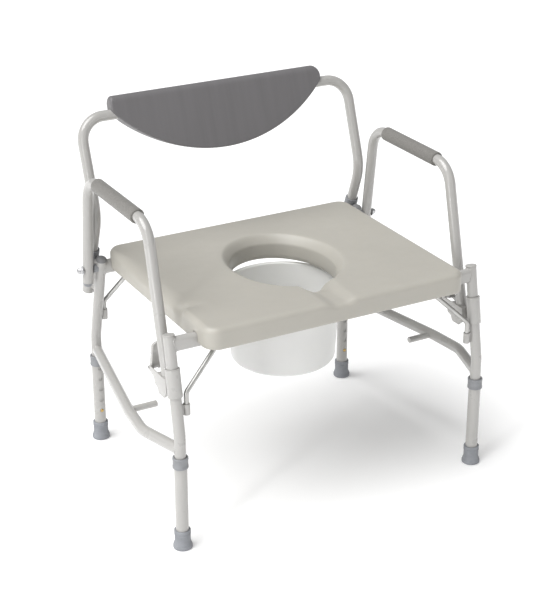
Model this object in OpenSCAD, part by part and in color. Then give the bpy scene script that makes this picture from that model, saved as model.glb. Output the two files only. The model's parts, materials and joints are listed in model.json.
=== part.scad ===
// Drop-arm commode chair: a tubular frame with telescoping legs, a moulded seat,
// a lift-out backrest, arms that swing down beside the seat, and a sliding pail.
// Front is -Y and +Z is up. Left and right are as seen from the front, so right is +X.
// The y values below count from the middle of the seat; placed() moves them to the origin.

/* [Tubing] */
// Outer diameter of the frame, arm and backrest tubing
tube_d = 22.2; // [20:0.1:23]
// Wall thickness of all tubing
tube_wall = 1.5; // [1:0.1:2]

/* [Seat] */
// Width of the seat
seat_w = 575; // [560:1:580]
// Depth of the seat
seat_d = 478; // [460:1:490]
// Height of the seat surface above the floor, legs at their shortest
seat_z = 459; // [456:1:464]
// Height of the seat's skirt
skirt_h = 42; // [38:1:46]
// Thickness of the moulded seat
seat_wall = 4.5; // [3:0.5:6]
// Plan radius of the seat's corners
seat_corner_r = 38; // [30:1:45]
// Radius of the seat's upper edge
seat_edge_r = 11; // [8:1:14]
// Half width of the seat opening at the surface
opening_x = 119; // [112:1:122]
// Half depth of the seat opening at the surface
opening_y = 144; // [136:1:147]
// How far the opening's rim slopes inwards
opening_slope = 17; // [12:1:20]

/* [Legs] */
// Distance of the front legs from the middle
front_x = 340; // [338:1:342]
// Distance of the rear legs from the middle
rear_x = 307.5; // [306:0.5:309]
// Height of the welded legs' top ends
leg_top_z = 438; // [436:1:440]
// Height of the bend in each leg
leg_bend_z = 245; // [242:1:248]
// Outer diameter of the leg extensions
extension_d = 25.4; // [25:0.1:26]
// Height adjustment from one hole to the next
hole_pitch = 25.4; // [24:0.1:25.4]
// Height of the lowest hole and its snap button
button_z = 70; // [68:1:72]

/* [Arms] */
// Distance of the arms' plane from the middle
arm_x = 336; // [335.5:0.1:336.5]
// Height of the arm rest's tube
arm_z = 629; // [620:1:635]
// Diameter of the foam grip
grip_d = 30; // [28:1:32]

/* [Backrest] */
// Distance of the backrest's uprights from the middle
back_x = 313; // [312:0.1:313.4]
// Height of the backrest tube's top
back_top_z = 722; // [715:1:726]
// Width of the backrest pad
pad_w = 490; // [480:1:500]
// Thickness of the backrest pad
pad_t = 28; // [26:1:30]

/* [Pail] */
// Radius of the pail below its rim
pail_r = 116; // [112:1:117]
// Radius of the pail's rim
pail_rim_r = 126; // [124:1:127]
// Depth of the pail
pail_depth = 152; // [140:1:160]

/* [Hidden] */
$fn = 64;

paint = "gainsboro";
steel = "silver";
beige = "antiquewhite";
mauve = "dimgray";
foam = "darkgray";
slate = "lightslategray";
white = "whitesmoke";

LEFT = -1;
RIGHT = 1;
eps = 1;
gap = 0.3;
run_fit = 0.05;
tube_r = tube_d / 2;
bore_r = tube_r - tube_wall;
extension_r = extension_d / 2;
extension_bore_r = tube_r + 0.4;
bend_swell = 0.05;
bend_bite = 1;

// Legs, as points in the y-z plane
front_top_y = -178;
front_foot_y = -213.5;
rear_foot_y = 267;
leg_end_z = 45;
leg_bend_r = 70;
rail_z = 421;
rail_h = 30;
rail_t = 18;
rail_corner_r = 8.5;
rail_bottom_z = rail_z - rail_h / 2;
rail_top_z = rail_z + rail_h / 2;
pivot_y = 220;
pivot_z = 422;
rear_lean = (rear_foot_y - pivot_y) / (pivot_z - leg_bend_z);
rear_top_y = pivot_y - rear_lean * (leg_top_z - pivot_z);
front_lean = (front_top_y - front_foot_y) / (leg_top_z - leg_bend_z);
function front_y(z) = front_foot_y + front_lean * max(0, z - leg_bend_z);
function rear_y(z) = rear_foot_y - rear_lean * max(0, z - leg_bend_z);
front_rail_y = front_y(rail_z);
rear_rail_y = rear_y(rail_z);

// Leg extensions
extension_top_z = 195;
extension_bottom_z = 6;
collar_bottom_z = 177;
collar_top_z = 200;
collar_r = 15.4;
tip_h = 40;
tip_r = 19;
tip_neck_r = 15.6;
tip_foot_h = 7;
hole_r = 4.1;
button_r = 3.5;
button_nose = 10.8;
button_flange_r = 5;
button_flange_in = 6;
button_flange_t = 1.2;
HOLES = 5;
spring_leaf_t = 0.8;
spring_leaf_w = 9;
spring_leaf_l = 30;
spring_gap_r = 2.6;

// Braces and their stub pegs
brace_z = 215;
brace_plan = [[rear_x, rear_foot_y], [362, -28], [370, -110], [front_x, front_foot_y]];
brace_bends = [0, 250, 70, 0];
peg_y = -22;
peg_r = 6.5;
peg_in_x = 300;

// Support rods
rod_r = 4.75;
rod_bend_r = 14;
rod_socket_r = 7;
rod_socket_h = 23;
rod_socket_web = 5;
front_rod = [[319.5, front_y(300), 281], [319.5, front_y(300), 327], [232, front_rail_y, 412]];
rear_rod = [[291.6, rear_y(300), 288], [291.6, rear_y(300), 328], [229, rear_rail_y, 412]];

// Arms, as points in the y-z plane
arm_rear_lean = 0.1257;
arm_front_lean = 0.245;
arm_rear_end_z = 393;
arm_front_end_z = 332;
arm_front_y = -88.5;
arm_bend_r = 52;
function arm_rear_y(z) = pivot_y - arm_rear_lean * (z - pivot_z);
function arm_front_line(z) = arm_front_y - arm_front_lean * (arm_z - z);
arm_path = [
    [arm_x, arm_rear_y(arm_rear_end_z), arm_rear_end_z],
    [arm_x, arm_rear_y(arm_z), arm_z],
    [arm_x, arm_front_y, arm_z],
    [arm_x, arm_front_line(arm_front_end_z), arm_front_end_z]
];
arm_bends = [0, arm_bend_r, arm_bend_r, 0];
grip_rear_y = 146;
grip_front_y = -47;
grip_end_r = 4;
stud_r = 4;
stud_in_x = 312;
stud_out_x = 355;
spacer_r = 9;
nut_r = 7.5;
nut_t = 6;
washer_r = 9;
washer_t = 1.5;

// Latch: a sleeve fixed on each front leg, and a case with the release lever on each arm's front end
sleeve_r = 14.6;
sleeve_bottom_z = 306;
sleeve_top_z = 375;
cheek_t = 2;
slot_half = tube_r + 0.8;
cheek_half = slot_half + cheek_t;
case_outline = [
    [-178.5, 348], [-118, 349], [-100, 351], [-99, 337],
    [-126, 320], [-141, 317], [-146, 307], [-170, 307], [-181, 322]
];
lever_slot = [[-141, 360], [-146, 325], [-60, 325], [-60, 360]];
lever_pin_y = -104;
lever_pin_z = 343;
lever_pin_r = 2.5;
lever_hub_r = 5.4;
lever_half = slot_half - 1.4;
lever_top_z = 398;
lever_outline = [
    [-107.5, 340], [-109.3, 346], [-112.5, 360], [-115.2, 376], [-116.2, 390], [-115, 398],
    [-109, 398], [-108.5, 388], [-105.5, 372], [-101, 356], [-98.8, 345], [-101, 339]
];
spring_ring_r = 0.55;
spring_rings = 6;

// Backrest: the lower run slopes forward going up, the upper run leans back
kink_y = 216;
kink_z = 535;
low_lean = 0.358;
high_lean = 0.355;
kink_r = 90;
back_corner_r = 50;
back_end_z = 356;
socket_bottom_z = 348;
socket_top_z = 452;
socket_r = 13;
socket_bore_r = tube_r + 0.4;
socket_floor = 3;
low_dir = [0, -low_lean, 1] / norm([0, -low_lean, 1]);
high_dir = [0, high_lean, 1] / norm([0, high_lean, 1]);
low_tilt = atan(low_lean);
high_tilt = atan(high_lean);
function low_y(z) = kink_y + low_lean * (kink_z - z);
function high_y(z) = kink_y + high_lean * (z - kink_z);
back_half = [
    [back_x, low_y(back_end_z), back_end_z],
    [back_x, kink_y, kink_z],
    [back_x, high_y(back_top_z), back_top_z]
];
function mirrored(points) = [for (i = [len(points) - 1 : -1 : 0]) [-points[i].x, points[i].y, points[i].z]];
back_path = concat(back_half, mirrored(back_half));
back_bends = [0, kink_r, back_corner_r, back_corner_r, kink_r, 0];
pad_low = 95;
pad_high = 236;
pad_curve_r = 332;
pad_corner_r = 14;
pad_screw_x = 150;

// Seat
skirt_z = seat_z - skirt_h;
groove_half = 35;
groove_depth = 5;
boss_r = 8;
screw_x = 200;
screw_r = 2.4;
screw_head_r = 5;
screw_head_t = 3;

// Pail
rim_top_z = 401;
rim_t = 4;
pail_taper = 14;
pail_wall = 3;
pail_rail_z = 392;
pail_rail_t = 2;
pail_rail_in = pail_r + 2.5;
pail_rail_out = pail_rim_r + 5;
bail_r = 121.5;
bail_wire_r = 2;
bail_z = 378;
bail_rest = 20;
ear_r = 6;

// The origin is under the middle of the whole chair
back_most = kink_y + pad_high * high_dir.y + pad_t / 2 * high_dir.z;
front_most = -seat_d / 2;
module placed() {
    translate([0, -(back_most + front_most) / 2, 0]) children();
}

// Turns a piece drawn for the right side into one for either side
module on_side(side) {
    if (side == LEFT) mirror([1, 0, 0]) children();
    else children();
}

// Geometry of straight and bent round bars through a list of points
function unit(v) = v / norm(v);
function turn(p, i) = acos(min(1, unit(p[i] - p[i - 1]) * unit(p[i + 1] - p[i])));
function cut_back(p, radii, i) = i == 0 || i == len(p) - 1 ? 0 : radii[i] * tan(turn(p, i) / 2);
function lengthened(p, by) = [for (i = [0 : len(p) - 1])
    i == 0 ? p[0] + by * unit(p[0] - p[1])
    : i == len(p) - 1 ? p[i] + by * unit(p[i] - p[i - 1])
    : p[i]];
function along_x(d) = abs(d.x) > 0.9 ? [0, 1, 0] : [1, 0, 0];

// Places children with their own x, y and z axes along ex, ey and ez
module axes(ex, ey, ez, at) {
    multmatrix([
        [ex.x, ey.x, ez.x, at.x],
        [ex.y, ey.y, ez.y, at.y],
        [ex.z, ey.z, ez.z, at.z],
        [0, 0, 0, 1]
    ]) children();
}

module bar(from, to, r) {
    ez = unit(to - from);
    ex = unit(cross(along_x(ez), ez));
    axes(ex, cross(ez, ex), ez, from) cylinder(r = r, h = norm(to - from));
}

module bend(p, radii, i, r) {
    run_in = unit(p[i] - p[i - 1]);
    run_out = unit(p[i + 1] - p[i]);
    start = p[i] - run_in * cut_back(p, radii, i);
    centre = p[i] + unit(run_out - run_in) * radii[i] / cos(turn(p, i) / 2);
    ex = unit(start - centre);
    axes(ex, run_in, cross(ex, run_in), centre)
        rotate_extrude(angle = turn(p, i)) translate([radii[i], 0]) circle(r = r + bend_swell);
}

// Each straight bar ends a little way inside the bends beside it, which are a trace thicker
module run(p, radii, r) {
    last = len(p) - 1;
    for (i = [0 : last - 1]) {
        way = unit(p[i + 1] - p[i]);
        start = i == 0 ? 0 : cut_back(p, radii, i) - bend_bite;
        end = i + 1 == last ? 0 : cut_back(p, radii, i + 1) - bend_bite;
        bar(p[i] + way * start, p[i + 1] - way * end, r);
    }
    for (i = [1 : 1 : last - 1]) bend(p, radii, i, r);
}

module tube(p, radii, r, inner) {
    difference() {
        run(p, radii, r);
        run(lengthened(p, eps), radii, inner);
    }
}

module rounded_rect(w, h, r) {
    square([w - 2 * r, h], center = true);
    square([w, h - 2 * r], center = true);
    for (x = [-1, 1], y = [-1, 1]) translate([x * (w / 2 - r), y * (h / 2 - r)]) circle(r = r);
}

module ellipse_prism(rx, ry, z0, z1) {
    steps = 96;
    translate([0, 0, z0]) linear_extrude(z1 - z0)
        polygon([for (i = [0 : steps - 1]) [rx * cos(i * 360 / steps), ry * sin(i * 360 / steps)]]);
}

// Welded frame
front_leg_path = [
    [front_x, front_top_y, leg_top_z],
    [front_x, front_foot_y, leg_bend_z],
    [front_x, front_foot_y, leg_end_z]
];
rear_leg_path = [
    [rear_x, rear_top_y, leg_top_z],
    [rear_x, rear_foot_y, leg_bend_z],
    [rear_x, rear_foot_y, leg_end_z]
];
leg_bends = [0, leg_bend_r, 0];

module front_leg(side) {
    placed() on_side(side) color(paint) difference() {
        tube(front_leg_path, leg_bends, tube_r, bore_r);
        translate([front_x, front_foot_y, button_z]) rotate([-90, 0, 0])
            cylinder(r = hole_r, h = tube_d);
    }
}

module rear_leg(side) {
    placed() on_side(side) color(paint) difference() {
        tube(rear_leg_path, leg_bends, tube_r, bore_r);
        translate([rear_x, rear_foot_y, button_z]) rotate([90, 0, 0])
            cylinder(r = hole_r, h = tube_d);
        translate([rear_x, pivot_y, pivot_z]) rotate([0, 90, 0])
            cylinder(r = stud_r + run_fit, h = tube_d);
    }
}

module rail_bar(y, half, grow) {
    translate([-half, y, rail_z]) rotate([0, 90, 0]) linear_extrude(2 * half)
        rounded_rect(rail_h + 2 * grow, rail_t + 2 * grow, rail_corner_r + grow);
}

module cross_rail(y, x, leg_path, rod) {
    placed() color(paint) difference() {
        rail_bar(y, x, 0);
        rail_bar(y, x + eps, -tube_wall);
        for (side = [LEFT, RIGHT]) {
            on_side(side) run(lengthened(leg_path, eps), leg_bends, tube_r);
            on_side(side) bar(rod[1], rod[2] + (rod[2] - rod[1]) / 4, rod_r + run_fit);
            on_side(side) translate([screw_x, y, rail_bottom_z - eps])
                cylinder(r = screw_r + run_fit, h = rail_h + 2 * eps);
        }
    }
}

module side_brace(side) {
    path = [for (p = brace_plan) [p.x, p.y, brace_z]];
    placed() on_side(side) color(paint) difference() {
        union() {
            tube(path, brace_bends, tube_r, bore_r);
            peg();
        }
        run(front_leg_path, leg_bends, tube_r);
        run(rear_leg_path, leg_bends, tube_r);
    }
}

module peg() {
    // ends inside the brace tube's wall, so that it doesn't cross the bore
    share = (rear_foot_y - peg_y) / (rear_foot_y - brace_plan[1].y);
    peg_out_x = rear_x + share * (brace_plan[1].x - rear_x) - bore_r - 0.8;
    translate([peg_in_x, peg_y, brace_z]) rotate([0, 90, 0])
        cylinder(r = peg_r, h = peg_out_x - peg_in_x);
}

module plug(path, cap_r, cap_t, stem) {
    way = unit(path[0] - path[1]);
    bar(path[0] - way * stem, path[0] + way * cap_t / 2, bore_r - run_fit);
    bar(path[0], path[0] + way * cap_t, cap_r);
}

module front_leg_caps() {
    placed() color(slate) for (side = [LEFT, RIGHT]) on_side(side)
        plug(front_leg_path, tube_r + 0.5, 3.5, 12);
}

module rear_leg_caps() {
    dome_r = 14;
    way = unit(rear_leg_path[0] - rear_leg_path[1]);
    placed() color(slate) for (side = [LEFT, RIGHT]) on_side(side) {
        plug(rear_leg_path, tube_r + 0.5, 2, 8);
        intersection() {
            translate(rear_leg_path[0] - way * 5) sphere(r = dome_r);
            bar(rear_leg_path[0] + way, rear_leg_path[0] + way * dome_r, tube_r + 0.4);
        }
    }
}

module rod_socket(rod, leg_path) {
    difference() {
        translate(rod[0]) {
            cylinder(r = rod_socket_r, h = rod_socket_h);
            translate([0, -rod_socket_web / 2, 0]) cube([tube_r, rod_socket_web, rod_socket_h]);
        }
        translate(rod[0] + [0, 0, 2]) cylinder(r = rod_r + run_fit, h = rod_socket_h);
        run(leg_path, leg_bends, tube_r);
    }
}

module rod_sockets() {
    placed() color(paint) for (side = [LEFT, RIGHT]) on_side(side) {
        rod_socket(front_rod, front_leg_path);
        rod_socket(rear_rod, rear_leg_path);
    }
}

module support_rod(side, rod) {
    lifted = [rod[0] + [0, 0, 2], rod[1], rod[2]];
    placed() on_side(side) color(steel) run(lifted, [0, rod_bend_r, 0], rod_r);
}

// Telescoping legs. face is the way the holes look: -1 forward, 1 backward
module extension(side, x, y, face) {
    placed() on_side(side) color(paint) difference() {
        translate([x, y, extension_bottom_z])
            cylinder(r = extension_r, h = extension_top_z - extension_bottom_z);
        translate([x, y, extension_bottom_z - eps])
            cylinder(r = extension_bore_r, h = extension_top_z);
        for (i = [0 : HOLES - 1]) translate([x, y, button_z + i * hole_pitch])
            rotate([-face * 90, 0, 0]) cylinder(r = hole_r, h = extension_d);
    }
}

module collar(side, x, y) {
    placed() on_side(side) color(slate) translate([x, y, 0]) difference() {
        translate([0, 0, collar_bottom_z]) cylinder(r = collar_r, h = collar_top_z - collar_bottom_z);
        translate([0, 0, collar_bottom_z - eps])
            cylinder(r = extension_r, h = extension_top_z - collar_bottom_z + eps);
        translate([0, 0, collar_bottom_z]) cylinder(r = extension_bore_r, h = collar_top_z);
    }
}

module foot_tip(side, x, y) {
    placed() on_side(side) color(slate) translate([x, y, 0]) difference() {
        union() {
            cylinder(r = tip_r, h = tip_foot_h);
            translate([0, 0, tip_foot_h]) cylinder(r1 = tip_r, r2 = tip_neck_r, h = 9);
            cylinder(r = tip_neck_r, h = tip_h);
        }
        translate([0, 0, extension_bottom_z]) cylinder(r = extension_r, h = tip_h);
    }
}

module button(side, x, y, face) {
    placed() on_side(side) color("goldenrod")
        translate([x, y, button_z]) rotate([-face * 90, 0, 0]) {
            translate([0, 0, button_flange_in]) cylinder(r = button_flange_r, h = button_flange_t);
            translate([0, 0, button_flange_in]) cylinder(r = button_r, h = button_nose - button_flange_in);
        }
}

module button_spring(x, y, face) {
    leaf_x = spring_leaf_w;
    outer = spring_gap_r + spring_leaf_t;
    translate([x, y, button_z - spring_leaf_l / 2]) difference() {
        union() {
            rotate([0, 90, 0]) cylinder(r = outer, h = leaf_x, center = true);
            translate([-leaf_x / 2, -outer, 0]) cube([leaf_x, 2 * outer, spring_leaf_l]);
        }
        rotate([0, 90, 0]) cylinder(r = spring_gap_r, h = 2 * leaf_x, center = true);
        translate([-leaf_x, -spring_gap_r, 0]) cube([2 * leaf_x, 2 * spring_gap_r, 2 * spring_leaf_l]);
    }
}

module button_springs() {
    placed() color(steel) for (side = [LEFT, RIGHT]) on_side(side) {
        button_spring(front_x, front_foot_y, 1);
        button_spring(rear_x, rear_foot_y, -1);
    }
}

// Arms
module arm_tube(side) {
    placed() on_side(side) color(paint) difference() {
        tube(arm_path, arm_bends, tube_r, bore_r);
        translate([arm_x - tube_d, pivot_y, pivot_z]) rotate([0, 90, 0])
            cylinder(r = stud_r + run_fit, h = 2 * tube_d);
    }
}

module arm_grip(side) {
    length = grip_rear_y - grip_front_y;
    grip_r = grip_d / 2;
    placed() on_side(side) color(foam) translate([arm_x, grip_rear_y, arm_z]) rotate([90, 0, 0])
        rotate_extrude() difference() {
            union() {
                translate([0, grip_end_r]) square([grip_r, length - 2 * grip_end_r]);
                square([grip_r - grip_end_r, length]);
                for (end = [grip_end_r, length - grip_end_r])
                    translate([grip_r - grip_end_r, end]) circle(r = grip_end_r);
            }
            translate([-2 * tube_r, -eps]) square([3 * tube_r, length + 2 * eps]);
        }
}

module arm_plugs(side) {
    front_end = [arm_path[3], arm_path[2]];
    rear_end = [arm_path[0], arm_path[1]];
    way = unit(rear_end[0] - rear_end[1]);
    placed() on_side(side) color(slate) {
        plug(front_end, tube_r - 0.5, 2, 10);
        plug(rear_end, tube_r - 0.6, 3, 10);
        translate(rear_end[0] + way * 3) sphere(r = tube_r - 1.6);
    }
}

module pivot_studs() {
    placed() color(steel) for (side = [LEFT, RIGHT]) on_side(side)
        translate([stud_in_x, pivot_y, pivot_z]) rotate([0, 90, 0]) {
            cylinder(r = stud_r, h = stud_out_x - stud_in_x);
            cylinder(r = 6, h = 2.5);
        }
}

module pivot_spacers() {
    from = rear_x + tube_r;
    placed() color(slate) for (side = [LEFT, RIGHT]) on_side(side)
        difference() {
            translate([from - 3, pivot_y, pivot_z]) rotate([0, 90, 0])
                cylinder(r = spacer_r, h = arm_x - tube_r - from + 3 - gap);
            translate([from - 4, pivot_y, pivot_z]) rotate([0, 90, 0])
                cylinder(r = stud_r + run_fit, h = tube_d);
            run(rear_leg_path, leg_bends, tube_r);
        }
}

module pivot_nuts() {
    from = arm_x + tube_r + gap;
    placed() color(steel) for (side = [LEFT, RIGHT]) on_side(side)
        translate([from, pivot_y, pivot_z]) rotate([0, 90, 0]) difference() {
            union() {
                cylinder(r = washer_r, h = washer_t);
                translate([0, 0, washer_t]) cylinder(r = nut_r, h = nut_t, $fn = 6);
                intersection() {
                    translate([0, 0, washer_t + nut_t - 1]) sphere(r = nut_r - 1);
                    translate([0, 0, washer_t + nut_t]) cylinder(r = nut_r, h = nut_r);
                }
            }
            translate([0, 0, -eps]) cylinder(r = stud_r, h = stud_out_x - from + eps);
        }
}

// Latch
module cheek_prism(from_x, to_x, points) {
    translate([from_x, 0, 0]) rotate([90, 0, 90]) linear_extrude(to_x - from_x)
        polygon(points);
}

module latch_sleeves() {
    placed() color(paint) for (side = [LEFT, RIGHT]) on_side(side) difference() {
        bar(
            [front_x, front_y(sleeve_bottom_z), sleeve_bottom_z],
            [front_x, front_y(sleeve_top_z), sleeve_top_z], sleeve_r
        );
        run(lengthened(front_leg_path, eps), leg_bends, tube_r + run_fit);
    }
}

module latch_housing(side) {
    placed() on_side(side) color(paint) difference() {
        cheek_prism(arm_x - cheek_half, arm_x + cheek_half, case_outline);
        cheek_prism(arm_x - slot_half, arm_x + slot_half, lever_slot);
        run(lengthened(arm_path, 40), arm_bends, tube_r + run_fit);
        translate([arm_x - 2 * cheek_half, lever_pin_y, lever_pin_z]) rotate([0, 90, 0])
            cylinder(r = lever_pin_r, h = 4 * cheek_half);
    }
}

module latch_lever(side) {
    spring_room = 4.5;
    placed() on_side(side) color(paint) difference() {
        intersection() {
            union() {
                cheek_prism(arm_x - lever_half, arm_x + lever_half, lever_outline);
                translate([arm_x - lever_half, lever_pin_y, lever_pin_z]) rotate([0, 90, 0])
                    cylinder(r = lever_hub_r, h = 2 * lever_half);
            }
            translate([arm_x, 0, 0]) rotate([90, 0, 0]) linear_extrude(400) {
                translate([0, lever_top_z - lever_half]) circle(r = lever_half);
                translate([-lever_half, 300]) square([2 * lever_half, lever_top_z - lever_half - 300]);
            }
        }
        translate([arm_x - 2 * lever_half, lever_pin_y, lever_pin_z]) rotate([0, 90, 0])
            cylinder(r = lever_pin_r + run_fit, h = 4 * lever_half);
        translate([arm_x - spring_room, lever_pin_y, lever_pin_z]) rotate([0, 90, 0])
            cylinder(r = lever_hub_r + 1, h = 2 * spring_room);
    }
}

module latch_pin(side) {
    placed() on_side(side) color(steel)
        translate([arm_x - cheek_half, lever_pin_y, lever_pin_z]) rotate([0, 90, 0])
            cylinder(r = lever_pin_r, h = 2 * cheek_half);
}

module latch_spring(side) {
    placed() on_side(side) color(steel) for (i = [0 : spring_rings - 1])
        translate([arm_x - 3.5 + 1.3 * i, lever_pin_y, lever_pin_z]) rotate([0, 90, 0])
            rotate_extrude() translate([lever_pin_r + 0.1 + spring_ring_r, 0]) circle(r = spring_ring_r);
}

// Backrest
module backrest_sockets() {
    bottom = [back_x, low_y(socket_bottom_z), socket_bottom_z];
    top = [back_x, low_y(socket_top_z), socket_top_z];
    plate_half = 3;
    placed() color(paint) for (side = [LEFT, RIGHT]) on_side(side) difference() {
        union() {
            bar(bottom, top, socket_r);
            cheek_prism(back_x - plate_half - 3, back_x + plate_half - 3, [
                [rear_y(430), 430], [low_y(440), 440], [low_y(356), 356], [rear_y(362), 362]
            ]);
        }
        bar(bottom + low_dir * socket_floor, top + low_dir * eps, socket_bore_r);
        run(rear_leg_path, leg_bends, tube_r);
    }
}

module socket_collars() {
    top = [back_x, low_y(socket_top_z), socket_top_z];
    placed() color(slate) for (side = [LEFT, RIGHT]) on_side(side) difference() {
        bar(top - low_dir * 16, top + low_dir * 4, socket_r + 1.5);
        bar(top - low_dir * 20, top, socket_r);
        bar(top - low_dir * 20, top + low_dir * 8, socket_bore_r);
    }
}

module backrest_tube() {
    placed() color(paint) tube(back_path, back_bends, tube_r, bore_r);
}

// Children are drawn in the pad's plane: x across, y up the lean, z forwards from the tube's middle
module on_lean() {
    translate([0, kink_y, kink_z]) rotate([90 - high_tilt, 0, 0]) children();
}

module backrest_pad() {
    height = pad_high - pad_low + 60;
    placed() color(mauve) difference() {
        on_lean() translate([0, 0, -pad_t / 2]) intersection() {
            translate([0, pad_low + pad_curve_r, 0]) cylinder(r = pad_curve_r, h = pad_t, $fn = 180);
            translate([0, pad_high - height / 2, 0]) linear_extrude(pad_t)
                rounded_rect(pad_w, height, pad_corner_r);
        }
        run(back_path, back_bends, tube_r);
        for (x = [-1, 1]) pad_screw_at(x) cylinder(r = screw_r, h = pad_t);
    }
}

module pad_screw_at(x) {
    up = (back_top_z - kink_z) / high_dir.z - tube_r - 12;
    on_lean() translate([x * pad_screw_x, up, -pad_t / 2 - screw_head_t]) children();
}

module pad_screws() {
    placed() color(steel) for (x = [-1, 1]) pad_screw_at(x) {
        cylinder(r = screw_head_r, h = screw_head_t);
        cylinder(r = screw_r, h = pad_t / 2);
    }
}

// Seat
module seat_corner(x, y) {
    translate([x * (seat_w / 2 - seat_corner_r), y * (seat_d / 2 - seat_corner_r), skirt_z])
        rotate_extrude($fn = 64) {
            square([seat_corner_r, skirt_h - seat_edge_r]);
            square([seat_corner_r - seat_edge_r, skirt_h]);
            translate([seat_corner_r - seat_edge_r, skirt_h - seat_edge_r]) intersection() {
                circle(r = seat_edge_r, $fn = 32);
                square(seat_edge_r);
            }
        }
}

module seat() {
    inner_w = seat_w - 2 * seat_wall;
    inner_d = seat_d - 2 * seat_wall;
    ceiling = seat_z - seat_wall - groove_depth / 2;
    hole_x = opening_x - opening_slope;
    hole_y = opening_y - opening_slope;
    placed() color(beige) difference() {
        union() {
            difference() {
                hull() for (x = [-1, 1], y = [-1, 1]) seat_corner(x, y);
                translate([0, 0, skirt_z - eps]) linear_extrude(ceiling - skirt_z + eps)
                    rounded_rect(inner_w, inner_d, seat_corner_r - seat_wall);
            }
            ellipse_prism(hole_x + seat_wall, hole_y + seat_wall, skirt_z + 2, ceiling + eps);
            for (x = [-screw_x, screw_x], y = [front_rail_y, rear_rail_y])
                translate([x, y, rail_top_z + run_fit])
                    cylinder(r = boss_r, h = ceiling - rail_top_z, $fn = 32);
        }
        ellipse_prism(hole_x, hole_y, skirt_z - eps, seat_z + eps);
        opening_bevel(hole_x, hole_y);
        for (y = [front_rail_y, rear_rail_y]) intersection() {
            rail_bar(y, seat_w, 1);
            side_bands();
        }
        for (x = [-screw_x, screw_x], y = [front_rail_y, rear_rail_y])
            translate([x, y, rail_top_z - eps]) cylinder(r = screw_r, h = 12, $fn = 32);
        front_groove();
    }
}

// The rim slopes down from the surface to the upright wall of the hole, in small steps
module opening_bevel(hole_x, hole_y) {
    steps = 5;
    drop = 6;
    for (i = [0 : steps - 1]) ellipse_prism(
        hole_x + opening_slope * (i + 1) / steps,
        hole_y + opening_slope * (i + 1) / steps,
        seat_z - drop + drop * i / steps, seat_z + eps
    );
}

module side_bands() {
    for (x = [-1, 1]) translate([x * seat_w / 2, 0, skirt_z])
        cube([1.6 * seat_corner_r, 2 * seat_d, 4 * skirt_h], center = true);
}

module front_groove() {
    length = seat_d / 2 - opening_y + 2 * opening_slope;
    big_r = (groove_half * groove_half + groove_depth * groove_depth) / 2 / groove_depth;
    translate([0, -seat_d / 2 + length - eps, seat_z - groove_depth + big_r]) rotate([90, 0, 0])
        cylinder(r = big_r, h = length, $fn = 128);
}

module seat_screws() {
    placed() color(steel) for (x = [-screw_x, screw_x], y = [front_rail_y, rear_rail_y])
        translate([x, y, rail_bottom_z - screw_head_t]) {
            cylinder(r = screw_head_r, h = screw_head_t);
            cylinder(r = screw_r, h = rail_h + screw_head_t + 8);
        }
}

// Pail and its rails
module pail_rails() {
    back = rear_rail_y + rail_t / 2;
    front = front_rail_y - rail_t / 2;
    height = rail_bottom_z - pail_rail_z;
    placed() color(paint) for (side = [LEFT, RIGHT]) on_side(side) {
        translate([pail_rail_out - pail_rail_t, front, pail_rail_z])
            cube([pail_rail_t, back - front, height]);
        translate([pail_rail_in, front, pail_rail_z])
            cube([pail_rail_out - pail_rail_in, back - front, pail_rail_t]);
    }
}

module pail() {
    bottom_z = rim_top_z - pail_depth;
    low_r = pail_r - pail_taper;
    floor_r = 8;
    placed() color(white) {
        translate([0, 0, bottom_z]) rotate_extrude($fn = 128) difference() {
            union() {
                polygon([
                    [0, 0], [low_r - floor_r, 0], [low_r - floor_r * 0.3, floor_r * 0.3],
                    [low_r, floor_r], [pail_r, pail_depth], [0, pail_depth]
                ]);
                translate([0, pail_depth - rim_t]) square([pail_rim_r, rim_t]);
            }
            polygon([
                [0, pail_wall], [low_r - pail_wall - floor_r / 2, pail_wall],
                [low_r - pail_wall, floor_r], [pail_r - pail_wall, pail_depth + eps], [0, pail_depth + eps]
            ]);
        }
        for (side = [LEFT, RIGHT]) on_side(side) pail_ear();
    }
}

module pail_ear() {
    // a disc on the pail's side with a stub that the handle's end hooks over
    from = pail_r - 4;
    translate([from, 0, bail_z]) rotate([0, 90, 0])
        cylinder(r = ear_r, h = bail_r - bail_wire_r - 0.4 - from);
    translate([from, 0, bail_z]) rotate([0, 90, 0])
        cylinder(r = 1.6, h = bail_r + bail_wire_r - from);
}

module pail_handle() {
    eye_r = 3.6;
    placed() color(steel) translate([0, 0, bail_z]) rotate([-bail_rest, 0, 0]) difference() {
        union() {
            rotate_extrude(angle = 180, $fn = 128) translate([bail_r, 0]) circle(r = bail_wire_r, $fn = 24);
            for (side = [LEFT, RIGHT]) on_side(side)
                translate([bail_r - bail_wire_r, 0, 0]) rotate([0, 90, 0])
                    cylinder(r = eye_r, h = 2 * bail_wire_r);
        }
        for (side = [LEFT, RIGHT]) on_side(side)
            translate([pail_r, 0, 0]) rotate([0, 90, 0]) cylinder(r = 1.6 + run_fit, h = 12);
    }
}

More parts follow.
